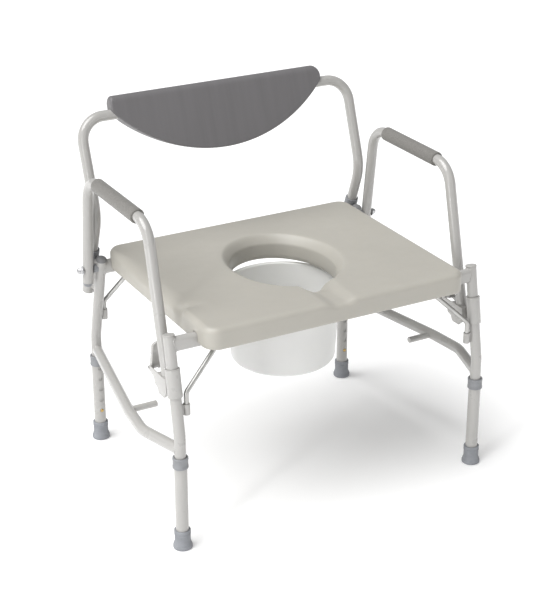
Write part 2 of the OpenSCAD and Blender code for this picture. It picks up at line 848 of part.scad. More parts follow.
front_leg(LEFT);  // front_leg_left
front_leg(RIGHT);  // front_leg_right
rear_leg(LEFT);  // rear_leg_left
rear_leg(RIGHT);  // rear_leg_right
cross_rail(front_rail_y, front_x, front_leg_path, front_rod);  // front_cross_rail
cross_rail(rear_rail_y, rear_x, rear_leg_path, rear_rod);  // rear_cross_rail
side_brace(LEFT);  // side_brace_left
side_brace(RIGHT);  // side_brace_right
front_leg_caps();
rear_leg_caps();
rod_sockets();
support_rod(LEFT, front_rod);  // rod_front_left
support_rod(RIGHT, front_rod);  // rod_front_right
support_rod(LEFT, rear_rod);  // rod_rear_left
support_rod(RIGHT, rear_rod);  // rod_rear_right
extension(LEFT, front_x, front_foot_y, 1);  // extension_front_left
extension(RIGHT, front_x, front_foot_y, 1);  // extension_front_right
extension(LEFT, rear_x, rear_foot_y, -1);  // extension_rear_left
extension(RIGHT, rear_x, rear_foot_y, -1);  // extension_rear_right
collar(LEFT, front_x, front_foot_y);  // collar_front_left
collar(RIGHT, front_x, front_foot_y);  // collar_front_right
collar(LEFT, rear_x, rear_foot_y);  // collar_rear_left
collar(RIGHT, rear_x, rear_foot_y);  // collar_rear_right
foot_tip(LEFT, front_x, front_foot_y);  // foot_tip_front_left
foot_tip(RIGHT, front_x, front_foot_y);  // foot_tip_front_right
foot_tip(LEFT, rear_x, rear_foot_y);  // foot_tip_rear_left
foot_tip(RIGHT, rear_x, rear_foot_y);  // foot_tip_rear_right
button(LEFT, front_x, front_foot_y, 1);  // button_front_left
button(RIGHT, front_x, front_foot_y, 1);  // button_front_right
button(LEFT, rear_x, rear_foot_y, -1);  // button_rear_left
button(RIGHT, rear_x, rear_foot_y, -1);  // button_rear_right
button_springs();
arm_tube(LEFT);  // arm_tube_left
arm_tube(RIGHT);  // arm_tube_right
arm_grip(LEFT);  // arm_grip_left
arm_grip(RIGHT);  // arm_grip_right
arm_plugs(LEFT);  // arm_plugs_left
arm_plugs(RIGHT);  // arm_plugs_right
pivot_studs();
pivot_spacers();
pivot_nuts();
latch_sleeves();
latch_housing(LEFT);  // latch_housing_left
latch_housing(RIGHT);  // latch_housing_right
latch_lever(LEFT);  // latch_lever_left
latch_lever(RIGHT);  // latch_lever_right
latch_pin(LEFT);  // latch_pin_left
latch_pin(RIGHT);  // latch_pin_right
latch_spring(LEFT);  // latch_spring_left
latch_spring(RIGHT);  // latch_spring_right
backrest_sockets();
socket_collars();
backrest_tube();
backrest_pad();
pad_screws();
seat();
seat_screws();
pail_rails();
pail();
pail_handle();
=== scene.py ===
"""Commode chair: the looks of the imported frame. Lengths are millimetres until a mesh is made."""
import json
import math
import random

import bmesh
import bpy
from mathutils import Matrix, Vector


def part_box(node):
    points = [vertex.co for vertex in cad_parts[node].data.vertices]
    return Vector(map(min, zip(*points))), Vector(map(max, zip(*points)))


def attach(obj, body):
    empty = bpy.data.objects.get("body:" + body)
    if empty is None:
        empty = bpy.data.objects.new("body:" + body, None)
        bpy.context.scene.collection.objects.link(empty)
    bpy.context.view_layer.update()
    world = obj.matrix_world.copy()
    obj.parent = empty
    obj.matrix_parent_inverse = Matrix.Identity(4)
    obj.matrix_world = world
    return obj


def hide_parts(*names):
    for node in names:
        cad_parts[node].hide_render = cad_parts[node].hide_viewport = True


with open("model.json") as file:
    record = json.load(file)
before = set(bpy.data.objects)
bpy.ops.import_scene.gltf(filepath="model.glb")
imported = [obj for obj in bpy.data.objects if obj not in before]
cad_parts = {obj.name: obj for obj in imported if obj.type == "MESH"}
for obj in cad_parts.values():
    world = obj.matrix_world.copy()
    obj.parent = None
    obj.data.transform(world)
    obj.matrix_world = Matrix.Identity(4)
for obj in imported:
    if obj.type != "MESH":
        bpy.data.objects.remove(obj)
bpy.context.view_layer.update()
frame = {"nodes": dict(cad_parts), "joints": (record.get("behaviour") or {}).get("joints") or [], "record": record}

MM = 0.001
LEFT = -1
RIGHT = 1
ALONG = Vector((0, 1, 0))
UP = Vector((0, 0, 1))
SIDES = {"left": LEFT, "right": RIGHT}
LEGS = [(end, side) for end in ("front", "rear") for side in SIDES]

# Camera, in metres and degrees
CAMERA_AT = (-1.4196, -2.5900, 1.6854)
CAMERA_AZIMUTH = -28.9
CAMERA_ELEVATION = 24.28
CAMERA_LENS = 93.75
WORLD_LIGHT = 0.395

# Sizes that the boxes of the CAD nodes don't give; a y is taken from the seat's middle
TUBE_R = 11.1
TUBE_BORE_R = 9.6
TUBE_CHAMFER = 0.4
LEG_BEND_Z = 245.0
RAIL_CORNER_R = 8.5
RAIL_STEPS = 12
OPENING = (119.0, 144.0)
HOLE = (102.0, 127.0)
SEAT_CORNER_R = 29.0
SEAT_WALL = 4.5
LEG_TOP_Z = 438.0
LEG_END_Z = 45.0
LEG_BEND_R = 70.0
BRACE_Z = 215.0
BRACE_START = 5.0
BRACE_BENDS = (250.0, 70.0)
BRACE_MIDDLE = ((362.0, -28.0), (370.0, -110.0))
PEG_Y = -22.0
PEG_R = 6.5
PEG_IN_X = 300.0
PEG_INSIDE = 10.0
LEG_HOLE_R = 4.1
ARM_HOLE_R = 4.15
ARM_X = 336.0
ARM_Z = 629.0
ARM_FRONT_Y = -88.5
ARM_ENDS_Z = (393.0, 332.0)
ARM_BEND_R = 52.0
ARM_REAR_LEAN = 0.1257
ARM_FRONT_LEAN = 0.245
BACK_X = 313.0
BACK_END_Z = 356.0
BACK_TOP_Z = 722.0
BACK_LOW_LEAN = 0.358
BACK_HIGH_LEAN = 0.355
BACK_BENDS = (90.0, 50.0)
KINK_Y = 216.0
KINK_Z = 535.0
PAD_CURVE_R = 332.0
ROD_R = 4.75
CUP_R = 7.0
CUP_BORE_R = 4.95
CUP_TALL = 23.0
CUP_LEVEL_Z = 300.0
SLEEVE_R = 14.3
SLEEVE_RAISED = 17.0
SLEEVE_SHORTER = 18.2
LATCH_SLOT_HALF = 11.9
LATCH_HALF = 13.9
LATCH_ROUND = 3.0
LEVER_HALF = 10.5
LEVER_TOP_Z = 398.0
LEVER_HUB_R = 5.4
LEVER_HUB_X = 4.6
# Side outlines of the latch, as (y, z) points
CASE_OUTLINE = [
    (-178.5, 348), (-128, 348.5), (-104, 348.5), (-99, 343), (-104, 337.8), (-122, 334.5),
    (-127, 329), (-128, 321), (-141, 317.5), (-146, 307), (-170, 307), (-181, 322),
]
CASE_SLOT = [(-143, 360), (-143, 335.5), (-60, 335.5), (-60, 360)]
LEVER_OUTLINE = [
    (-107.5, 340), (-109.3, 346), (-112.5, 360), (-115.2, 376), (-116.2, 390), (-115, 398),
    (-109, 398), (-108.5, 388), (-105.5, 372), (-101, 356), (-98.8, 345), (-101, 339),
]


# ---- places in the frame

def low(node):
    return Vector(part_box(node)[0]) / MM


def high(node):
    return Vector(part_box(node)[1]) / MM


def middle(node):
    return (low(node) + high(node)) / 2


def joint_at(name):
    for joint in frame["joints"]:
        if joint["name"] == name:
            return Vector(joint["pos_m"]) / MM
    raise KeyError(name)


def foot_of(node):
    """The middle of the bottom of a node's box."""
    centre = middle(node)
    centre.z = low(node).z
    return centre


def from_seat(x, y, z):
    """A point given about the seat's middle, as a point of the frame."""
    return Vector((x, y + middle("seat").y, z))


def leg_axis(end, side):
    """The leg's foot, the point where it bends, and the direction of its leaning top."""
    foot = middle(f"collar_{end}_{side}")
    bend = Vector((foot.x, foot.y, LEG_BEND_Z))
    rail = middle(f"{end}_cross_rail")
    way = (Vector((foot.x, rail.y, rail.z)) - bend).normalized()
    return foot, bend, way


def smooth(value):
    t = min(1.0, max(0.0, value))
    return t * t * (3 - 2 * t)


def ramp(value, start, end):
    """Runs smoothly from 0 at start to 1 at end."""
    return smooth((value - start) / (end - start))


def mix(a, b, t):
    return a + (b - a) * t


# ---- mesh building

class Shape:
    """The points and faces of one piece."""

    def __init__(self):
        self.points = []
        self.faces = []

    def loft(self, rows, wrap=False, cap_start=False, cap_end=False):
        base = len(self.points)
        n = len(rows[0])
        for row in rows:
            self.points.extend(row)
        for i in range(len(rows) if wrap else len(rows) - 1):
            a = base + i * n
            b = base + (i + 1) % len(rows) * n
            for k in range(n):
                m = (k + 1) % n
                self.faces.append((a + k, a + m, b + m, b + k))
        if cap_start:
            self.faces.append(tuple(base + k for k in reversed(range(n))))
        if cap_end:
            last = base + (len(rows) - 1) * n
            self.faces.append(tuple(last + k for k in range(n)))


def square_axes(way):
    """Two directions square to way and to each other."""
    helper = Vector((0, 1, 0)) if abs(way.x) > 0.9 else Vector((1, 0, 0))
    u = way.cross(helper).normalized()
    return u, way.cross(u).normalized()


def around(centre, u, w, radius, sides):
    """Points of a circle in the plane of u and w."""
    turn = 2 * math.pi / sides
    return [centre + (u * math.cos(turn * k) + w * math.sin(turn * k)) * radius for k in range(sides)]


def arc(centre, radius, start, end, steps):
    """Points of an arc in a profile; angles in degrees."""
    out = []
    for i in range(steps + 1):
        a = math.radians(mix(start, end, i / steps))
        out.append((centre[0] + radius * math.cos(a), centre[1] + radius * math.sin(a)))
    return out


def dome(radius, height, base, angles):
    """Profile points of a rounded end that stands on base; angles in degrees."""
    return [
        (radius * math.cos(math.radians(a)), base + height * math.sin(math.radians(a))) for a in angles
    ]


def lathe(shape, profile, base, way, sides=64, wrap=False):
    """Turns a profile of (radius, height) points about the axis through base."""
    u, w = square_axes(way)
    rows = [around(base + way * height, u, w, radius, sides) for radius, height in profile]
    shape.loft(rows, wrap=wrap, cap_start=not wrap, cap_end=not wrap)


def sweep(shape, path, radius, sides=12, closed=False):
    """A round bar along a path; radius is a number or a function of the point's index."""
    n = len(path)
    rows = []
    u = None
    for i, point in enumerate(path):
        before = path[i - 1] if closed or i > 0 else path[i]
        after = path[(i + 1) % n] if closed or i < n - 1 else path[i]
        way = (after - before).normalized()
        if u is None:
            u, _ = square_axes(way)
        u = (u - way * u.dot(way)).normalized()
        r = radius(i) if callable(radius) else radius
        rows.append(around(point, u, way.cross(u), r, sides))
    shape.loft(rows, wrap=closed, cap_start=not closed, cap_end=not closed)


def bent(corners, radii):
    """A path through corners, rounded at each by an arc of its radius."""
    out = [corners[0]]
    for i in range(1, len(corners) - 1):
        p = corners[i]
        run_in = (p - corners[i - 1]).normalized()
        run_out = (corners[i + 1] - p).normalized()
        turn = run_in.angle(run_out)
        cut = radii[i - 1] * math.tan(turn / 2)
        start = p - run_in * cut
        inward = (run_out - run_in).normalized()
        centre = p + inward * radii[i - 1] / math.cos(turn / 2)
        axis = run_in.cross(run_out)
        steps = max(4, round(math.degrees(turn) / 3))
        for k in range(steps + 1):
            out.append(centre + Matrix.Rotation(turn * k / steps, 3, axis) @ (start - centre))
    out.append(corners[-1])
    return out


def hollow_tube(shape, path, outer, inner, sides=48):
    """A tube with a wall, along a path, with small chamfers on its ends."""
    last = len(path) - 1
    ways = []
    spokes = []
    u = None
    for i in range(len(path)):
        way = (path[min(last, i + 1)] - path[max(0, i - 1)]).normalized()
        ways.append(way)
        if u is None:
            u, _ = square_axes(way)
        u = (u - way * u.dot(way)).normalized()
        spokes.append(around(Vector(), u, way.cross(u), 1, sides))

    def ring(i, radius, along=0.0):
        return [path[i] + ways[i] * along + spoke * radius for spoke in spokes[i]]

    skin = [ring(0, outer - TUBE_CHAMFER), ring(0, outer, TUBE_CHAMFER)]
    skin += [ring(i, outer) for i in range(1, last)]
    skin += [ring(last, outer, -TUBE_CHAMFER), ring(last, outer - TUBE_CHAMFER)]
    skin += [ring(i, inner) for i in range(last, -1, -1)]
    shape.loft(skin, wrap=True)


def hole(base, way, radius, length):
    """A round cutter."""
    cutter = Shape()
    lathe(cutter, [(radius, 0), (radius, length)], base, way, sides=32)
    return cutter


def prism(shape, outline, low_x, high_x):
    """A plate between two x values; outline is (y, z) points."""
    rows = [[Vector((x, y, z)) for y, z in outline] for x in (low_x, high_x)]
    shape.loft(rows, cap_start=True, cap_end=True)


def round_corners(outline, radius, steps=4):
    """A closed outline with its corners rounded."""
    out = []
    n = len(outline)
    for i in range(n):
        p = Vector(outline[i])
        a = Vector(outline[i - 1]) - p
        b = Vector(outline[(i + 1) % n]) - p
        cut = min(radius, a.length * 0.45, b.length * 0.45)
        start = p + a.normalized() * cut
        end = p + b.normalized() * cut
        for k in range(steps + 1):
            t = k / steps
            q = start * (1 - t) ** 2 + p * 2 * t * (1 - t) + end * t * t
            out.append((q.x, q.y))
    return out


def mesh_of(shape, name):
    mesh = bpy.data.meshes.new(name)
    mesh.from_pydata([tuple(Vector(p) * MM) for p in shape.points], [], shape.faces)
    work = bmesh.new()
    work.from_mesh(mesh)
    bmesh.ops.recalc_face_normals(work, faces=work.faces)
    work.to_mesh(mesh)
    work.free()
    return mesh


def add_object(name, data):
    item = bpy.data.objects.new(name, data)
    bpy.context.scene.collection.objects.link(item)
    return item


def apply_modifiers(piece):
    """Keeps the shape that the modifiers give, and removes them."""
    bpy.context.view_layer.update()
    seen = piece.evaluated_get(bpy.context.evaluated_depsgraph_get())
    mesh = bpy.data.meshes.new_from_object(seen)
    piece.modifiers.clear()
    piece.data = mesh


def shade(piece, sharp):
    for polygon in piece.data.polygons:
        polygon.use_smooth = True
    piece.data.set_sharp_from_angle(angle=math.radians(sharp))


def make(name, shape, body, slot, nodes=(), finish=None, bevel=0.0, sharp=40, cutters=()):
    """Makes a piece from a shape, puts it on its body and hides the CAD nodes it stands for.

    Its finish is its slot's, or that of the slot named by finish.
    """
    piece = add_object(name, mesh_of(shape, name))
    for cutter in cutters:
        tool = add_object(name + "_cutter", mesh_of(cutter, name + "_cutter"))
        cut = piece.modifiers.new("cut", "BOOLEAN")
        cut.operation = "DIFFERENCE"
        cut.solver = "EXACT"
        cut.object = tool
        apply_modifiers(piece)
        bpy.data.objects.remove(tool)
    if bevel:
        edge = piece.modifiers.new("edge", "BEVEL")
        edge.width = bevel * MM
        edge.segments = 3
        edge.limit_method = "ANGLE"
        edge.angle_limit = math.radians(35)
        apply_modifiers(piece)
    shade(piece, sharp)
    piece.data.materials.clear()
    piece.data.materials.append(FINISHES[finish or slot])
    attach(piece, body)
    if nodes:
        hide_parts(*nodes)
    return piece


# ---- finishes

NOISE_RANGE = (0.3, 0.7)


class Finish:
    """A procedural material on a Principled shader."""

    def __init__(self, name, **sockets):
        self.material = bpy.data.materials.new(name)
        self.material.use_nodes = True
        self.tree = self.material.node_tree
        self.shader = self.tree.nodes["Principled BSDF"]
        self.place = self.add("ShaderNodeTexCoord").outputs["Object"]
        self.normal = None
        for socket, value in sockets.items():
            self.shader.inputs[socket.replace("_", " ")].default_value = value

    def add(self, kind, **settings):
        node = self.tree.nodes.new(kind)
        for key, value in settings.items():
            setattr(node, key, value)
        return node

    def join(self, output, target):
        self.tree.links.new(output, target)

    def stretched(self, stretch):
        mapping = self.add("ShaderNodeMapping")
        mapping.inputs["Scale"].default_value = stretch
        self.join(self.place, mapping.inputs["Vector"])
        return mapping.outputs["Vector"]

    def noise(self, scale, detail=3.0, roughness=0.5, stretch=(1, 1, 1)):
        node = self.add("ShaderNodeTexNoise")
        node.inputs["Scale"].default_value = scale
        node.inputs["Detail"].default_value = detail
        node.inputs["Roughness"].default_value = roughness
        self.join(self.stretched(stretch), node.inputs["Vector"])
        return node.outputs["Fac"]

    def cells(self, scale):
        node = self.add("ShaderNodeTexVoronoi")
        node.inputs["Scale"].default_value = scale
        self.join(self.place, node.inputs["Vector"])
        return node.outputs["Distance"]

    def colour(self, value, base, dark, light):
        """The base colour, times a factor that runs from dark to light with value."""
        node = self.add("ShaderNodeValToRGB")
        for element, position, factor in zip(node.color_ramp.elements, NOISE_RANGE, (dark, light)):
            element.position = position
            element.color = (*(c * factor for c in base), 1)
        self.join(value, node.inputs["Fac"])
        self.join(node.outputs["Color"], self.shader.inputs["Base Color"])

    def roughness(self, value, smoothest, roughest):
        node = self.add("ShaderNodeMapRange")
        limits = (*NOISE_RANGE, smoothest, roughest)
        for socket, limit in zip(("From Min", "From Max", "To Min", "To Max"), limits):
            node.inputs[socket].default_value = limit
        self.join(value, node.inputs["Value"])
        self.join(node.outputs["Result"], self.shader.inputs["Roughness"])

    def bump(self, value, height_mm, strength=1.0):
        node = self.add("ShaderNodeBump")
        node.inputs["Strength"].default_value = strength
        node.inputs["Distance"].default_value = height_mm * MM
        self.join(value, node.inputs["Height"])
        if self.normal:
            self.join(self.normal, node.inputs["Normal"])
        self.normal = node.outputs["Normal"]
        self.join(self.normal, self.shader.inputs["Normal"])


def powder_coat():
    """Gloss stoved paint on tube: a faint orange peel, and slightly uneven gloss."""
    base = (0.405, 0.397, 0.382)
    f = Finish("powder_coat", Roughness=0.3, Coat_Weight=0.8, Coat_Roughness=0.07, IOR=1.5)
    f.colour(f.noise(9, 4), base, 0.975, 1.02)
    f.roughness(f.noise(25, 3), 0.27, 0.31)
    f.bump(f.noise(650, 2), 0.008, 0.25)
    return f.material


def steel(name, base, smoothest, roughest, stretch):
    """Drawn bar: fine lines along the bar and slight stains."""
    f = Finish(name, Metallic=1.0, Roughness=smoothest)
    f.colour(f.noise(40, 4), base, 0.86, 1.04)
    f.roughness(f.noise(500, 3, stretch=stretch), smoothest, roughest)
    f.bump(f.noise(1400, 2, stretch=stretch), 0.02, 0.5)
    return f.material


def seat_plastic():
    """Blow-moulded plastic: a fine satin grain, faint flow marks and mottling."""
    base = (0.418, 0.402, 0.360)
    f = Finish(
        "seat_plastic", Roughness=0.42, IOR=1.48, Coat_Weight=0.08, Coat_Roughness=0.3,
        Subsurface_Weight=0.03, Subsurface_Radius=(0.004, 0.003, 0.002),
    )
    f.colour(f.noise(6, 5, 0.6), base, 0.965, 1.03)
    f.roughness(f.noise(35, 4), 0.36, 0.48)
    f.bump(f.noise(900, 3, 0.6), 0.05, 0.45)
    f.bump(f.noise(14, 2), 0.35, 0.2)
    return f.material


def pad_plastic():
    """Soft moulded sheath: satin with faint streaks down its length and a fine stipple."""
    base = (0.148, 0.143, 0.147)
    f = Finish("pad_plastic", Roughness=0.45, IOR=1.5, Coat_Weight=0.1, Coat_Roughness=0.35)
    f.colour(f.noise(55, 4, 0.6, stretch=(1, 0.06, 0.06)), base, 0.95, 1.05)
    f.roughness(f.noise(90, 3, stretch=(1, 0.08, 0.08)), 0.40, 0.50)
    f.bump(f.cells(700), 0.07, 0.5)
    f.bump(f.noise(16, 3, stretch=(1, 0.3, 0.3)), 0.5, 0.3)
    return f.material


def grip_foam():
    """Closed-cell foam: open pores on its skin, matt, slightly mottled."""
    base = (0.196, 0.189, 0.176)
    f = Finish("grip_foam", Roughness=0.85, IOR=1.4, Sheen_Weight=0.25, Sheen_Roughness=0.5)
    f.colour(f.noise(380, 5, 0.7), base, 0.72, 1.15)
    f.roughness(f.noise(120, 3), 0.78, 0.95)
    f.bump(f.cells(950), 0.25, 0.6)
    f.bump(f.noise(45, 3), 0.5, 0.3)
    return f.material


def moulded(name, base, smoothest, roughest, grain=650, wear=0.10):
    """A small moulded part: fine grain and uneven gloss."""
    f = Finish(name, Roughness=smoothest, IOR=1.48)
    f.colour(f.noise(45, 4, 0.6), base, 1 - wear, 1 + wear / 2)
    f.roughness(f.noise(130, 3), smoothest, roughest)
    f.bump(f.noise(grain, 3), 0.06, 0.5)
    return f.material


def pail_plastic():
    """Thin white polypropylene: light comes through it, with faint moulding rings."""
    base = (0.72, 0.72, 0.705)
    f = Finish(
        "pail_plastic", Roughness=0.32, IOR=1.49,
        Subsurface_Weight=0.35, Subsurface_Radius=(0.02, 0.02, 0.018), Subsurface_Scale=0.6,
    )
    f.colour(f.noise(12, 3), base, 0.97, 1.02)
    f.roughness(f.noise(30, 3), 0.28, 0.4)
    f.bump(f.noise(220, 2, stretch=(0.05, 0.05, 1)), 0.04, 0.4)
    return f.material


def brass():
    f = Finish("button_brass", Metallic=1.0, Roughness=0.25)
    base = (0.62, 0.43, 0.17)
    f.colour(f.noise(300, 3), base, 0.8, 1.1)
    f.roughness(f.noise(500, 2), 0.2, 0.34)
    f.bump(f.noise(1500, 2), 0.02, 0.4)
    return f.material


def floor_finish():
    f = Finish("pale_floor", Roughness=0.75, Emission_Color=(1, 1, 1, 1), Emission_Strength=0.14)
    f.colour(f.noise(1.5, 3), (1, 1, 1), 0.93, 0.95)
    f.bump(f.noise(60, 3), 0.1, 0.1)
    return f.material


# The finish of each material slot
FINISHES = {
    "frame_paint": powder_coat(),
    "bright_steel": steel("bright_steel", (0.50, 0.495, 0.48), 0.34, 0.46, (1, 1, 0.03)),
    "chrome": steel("chrome", (0.50, 0.50, 0.51), 0.10, 0.20, (0.03, 1, 1)),
    "seat_plastic": seat_plastic(),
    "pad_plastic": pad_plastic(),
    "grip_foam": grip_foam(),
    "tip_rubber": moulded("tip_rubber", (0.262, 0.272, 0.292), 0.55, 0.75, grain=420, wear=0.16),
    "collar_plastic": moulded("collar_plastic", (0.255, 0.262, 0.275), 0.38, 0.5, grain=700),
    "cap_plastic": moulded("cap_plastic", (0.20, 0.20, 0.203), 0.22, 0.5, grain=700),
    "latch_plastic": moulded("latch_plastic", (0.405, 0.397, 0.382), 0.3, 0.42, grain=800, wear=0.05),
    "pail_plastic": pail_plastic(),
    "button_brass": brass(),
}


# ---- seat

SIDE_STEPS = 76
FRONT_STEPS = 104
CORNER_STEPS = 12

# The groove, at the opening and at the front edge, with the distances forward where it changes
GROOVE_X = -2.0
GROOVE_HALF = (12.0, 8.0)
GROOVE_DEPTH = (29.0, 6.5)
GROOVE_BANK = 30.0
GROOVE_STARTS = (88.0, 108.0)
GROOVE_RISES = (114.0, 180.0)
GROOVE_NARROWS = (125.0, 185.0)

# The hollow in the left edge, and how far the edge draws in there
VALLEY_Y = -104.0
VALLEY_SLANT = 0.35
VALLEY_LENGTH = 13.0
VALLEY_DEPTH = 7.0
VALLEY_FADES = (2.0, 62.0)
PINCH_Y = -112.0
PINCH_LENGTH = 14.0
PINCH_DEPTH = 6.0
PINCH_WITHIN = 5.0

# The roll round the top, crisp and soft, and where on the left the soft one fades, starts and ends
ROLL_IN = (12.0, 30.0)
ROLL_DOWN = (12.0, 20.0)
SOFT_FADES = (20.0, 70.0)
SOFT_STARTS = (-122.0, -92.0)
SOFT_ENDS = (95.0, 205.0)

OPENING_DROP = 18.5
OPENING_BELOW = 8.5
TOP_THICK = 17.0
NOTCH_ROUND = 7.0
NOTCH_GAP = 1.2


def seat_outline(half_w, half_d, inset_of):
    """Points round the seat, each moved in by its own inset. Gives (x, y) about the middle."""
    corners = [(1, -1), (1, 1), (-1, 1), (-1, -1)]
    out = []
    for i, corner in enumerate(corners):
        following = corners[(i + 1) % 4]
        steps = SIDE_STEPS if corner[0] == following[0] else FRONT_STEPS
        marks = [(90 * i - 90 + 90 * k / CORNER_STEPS, 0) for k in range(CORNER_STEPS)]
        marks += [(90 * i, k / steps) for k in range(steps)]
        for angle, onward in marks:
            inset = inset_of(len(out))
            r = max(SEAT_CORNER_R - inset, 5.0)
            a = math.radians(angle)
            x = mix(corner[0], following[0], onward) * (half_w - inset - r) + r * math.cos(a)
            y = mix(corner[1], following[1], onward) * (half_d - inset - r) + r * math.sin(a)
            out.append((x, y))
    return out


def groove_drop(x, y):
    """The drain from the opening's front to the seat's front edge."""
    half = mix(*GROOVE_HALF, ramp(-y, *GROOVE_NARROWS))
    across = 1 - smooth((abs(x - GROOVE_X) - half) / GROOVE_BANK)
    depth = mix(*GROOVE_DEPTH, ramp(-y, *GROOVE_RISES) ** 0.8)
    return depth * across * ramp(-y, *GROOVE_STARTS)


def valley_drop(x, y, half_w):
    """The hollow in the top's left edge, just behind the raised front corner."""
    inward = x + half_w
    behind = y - VALLEY_Y + VALLEY_SLANT * inward
    return VALLEY_DEPTH * math.exp(-(behind / VALLEY_LENGTH) ** 2) * (1 - ramp(inward, *VALLEY_FADES))


def edge_pinch(x, y, half_w):
    """How far the left edge draws in at that hollow."""
    if x + half_w >= PINCH_WITHIN:
        return 0.0
    return PINCH_DEPTH * math.exp(-((y - PINCH_Y) / PINCH_LENGTH) ** 2)


def softness(x, y, half_w):
    """How far the top's roll is the wide one of the left side, from 0 to 1."""
    on_left = 1 - ramp(x + half_w, *SOFT_FADES)
    return on_left * ramp(y, *SOFT_STARTS) * (1 - ramp(y, *SOFT_ENDS))


def seat_rows(lo, hi):
    """Rings of points: up the opening's wall, over the top, down the skirt and back underneath."""
    centre = (lo + hi) / 2
    half_w = (hi.x - lo.x) / 2
    half_d = (hi.y - lo.y) / 2
    rim = seat_outline(half_w, half_d, lambda i: 0)
    soft = [softness(x, y, half_w) for x, y in rim]
    widths = [mix(*ROLL_IN, share) for share in soft]
    drops = [mix(*ROLL_DOWN, share) for share in soft]
    turns = [math.atan2(y / OPENING[1], x / OPENING[0]) for x, y in rim]
    pinches = [edge_pinch(x, y, half_w) for x, y in rim]
    rows = []

    def ellipse(grow):
        return [((HOLE[0] + grow) * math.cos(a), (HOLE[1] + grow) * math.sin(a)) for a in turns]

    def edge(inset_of):
        return seat_outline(half_w, half_d, inset_of)

    def tops(points):
        return [hi.z - groove_drop(x, y) - valley_drop(x, y, half_w) for x, y in points]

    def add(points, heights):
        """Adds a ring; heights is one number, or a list with one for each point."""
        if not isinstance(heights, list):
            heights = [heights] * len(points)
        rows.append([Vector((centre.x + x, centre.y + y, z)) for (x, y), z in zip(points, heights)])

    wall_top = hi.z - OPENING_DROP
    wall_low = lo.z - OPENING_BELOW
    wall_tops = [min(wall_top, z) - 2 for z in tops(ellipse(0))]
    slope = OPENING[0] - HOLE[0]
    add(ellipse(1.0), wall_low)
    add(ellipse(0), wall_low + 1.2)
    add(ellipse(0), mix(wall_low, wall_top, 0.3))
    add(ellipse(0), wall_tops)
    for k in range(1, 17):
        t = k / 17
        points = ellipse(slope * t)
        bowl = hi.z - OPENING_DROP * (1 - t) ** 1.45
        add(points, [min(z, bowl) - 0.4 * t for z in tops(points)])
    inner = ellipse(slope + 1.5)
    outer = edge(lambda i: widths[i] + pinches[i])
    for k in range(25):
        points = [(mix(a[0], b[0], k / 24), mix(a[1], b[1], k / 24)) for a, b in zip(inner, outer)]
        add(points, tops(points))
    for k in range(1, 11):
        a = math.radians(90 * k / 10)
        points = edge(lambda i: widths[i] * (1 - math.sin(a)) + pinches[i])
        add(points, [z - drop * (1 - math.cos(a)) for z, drop in zip(tops(points), drops)])
    for rise, share in ((14, 0.6), (7, 0.25), (1.5, 0)):
        add(edge(lambda i: pinches[i] * share), lo.z + rise)
    add(edge(lambda i: 1.2), lo.z)
    add(edge(lambda i: SEAT_WALL - 1), lo.z)
    add(edge(lambda i: SEAT_WALL), lo.z + 1.2)
    add(edge(lambda i: SEAT_WALL + pinches[i]), hi.z - 32)
    add(edge(lambda i: widths[i] + pinches[i] + SEAT_WALL), hi.z - TOP_THICK)
    add(ellipse(slope + 6), hi.z - TOP_THICK)
    add(ellipse(SEAT_WALL), [min(wall_top, z) - 6 for z in wall_tops])
    add(ellipse(SEAT_WALL), wall_low + 1)
    add(ellipse(SEAT_WALL - 1), wall_low)
    return rows


def rail_notches(seat_low, half_w):
    """Cutters that let the skirt sit over the ends of the two cross rails."""
    cutters = []
    for rail in ("front_cross_rail", "rear_cross_rail"):
        lo = low(rail)
        hi = high(rail)
        r = NOTCH_ROUND
        outline = arc((hi.y - r, hi.z - r), r + NOTCH_GAP, 0, 90, 6)
        outline += arc((lo.y + r, hi.z - r), r + NOTCH_GAP, 90, 180, 6)
        outline += [(lo.y - NOTCH_GAP, seat_low.z - 20), (hi.y + NOTCH_GAP, seat_low.z - 20)]
        for sign in (LEFT, RIGHT):
            notch = Shape()
            prism(notch, outline, *sorted((sign * (half_w - 30), sign * (half_w + 30))))
            cutters.append(notch)
    return cutters


def seat():
    lo = low("seat")
    hi = high("seat")
    shape = Shape()
    shape.loft(seat_rows(lo, hi), wrap=True)
    make(
        "seat_shell", shape, "frame", "seat_plastic", ["seat"],
        cutters=rail_notches(lo, (hi.x - lo.x) / 2), sharp=50,
    )


# ---- backrest pad

PAD_FRONT = 14.0
PAD_LIP = 9.0
PAD_TOP_ROLL = 14.0
PAD_CORNERS = {LEFT: 8.0, RIGHT: 17.0}
PAD_EDGE = 4.0
PAD_TALL = 141.0
PAD_TUBE_DOWN = 37.6
PAD_STEPS = 90


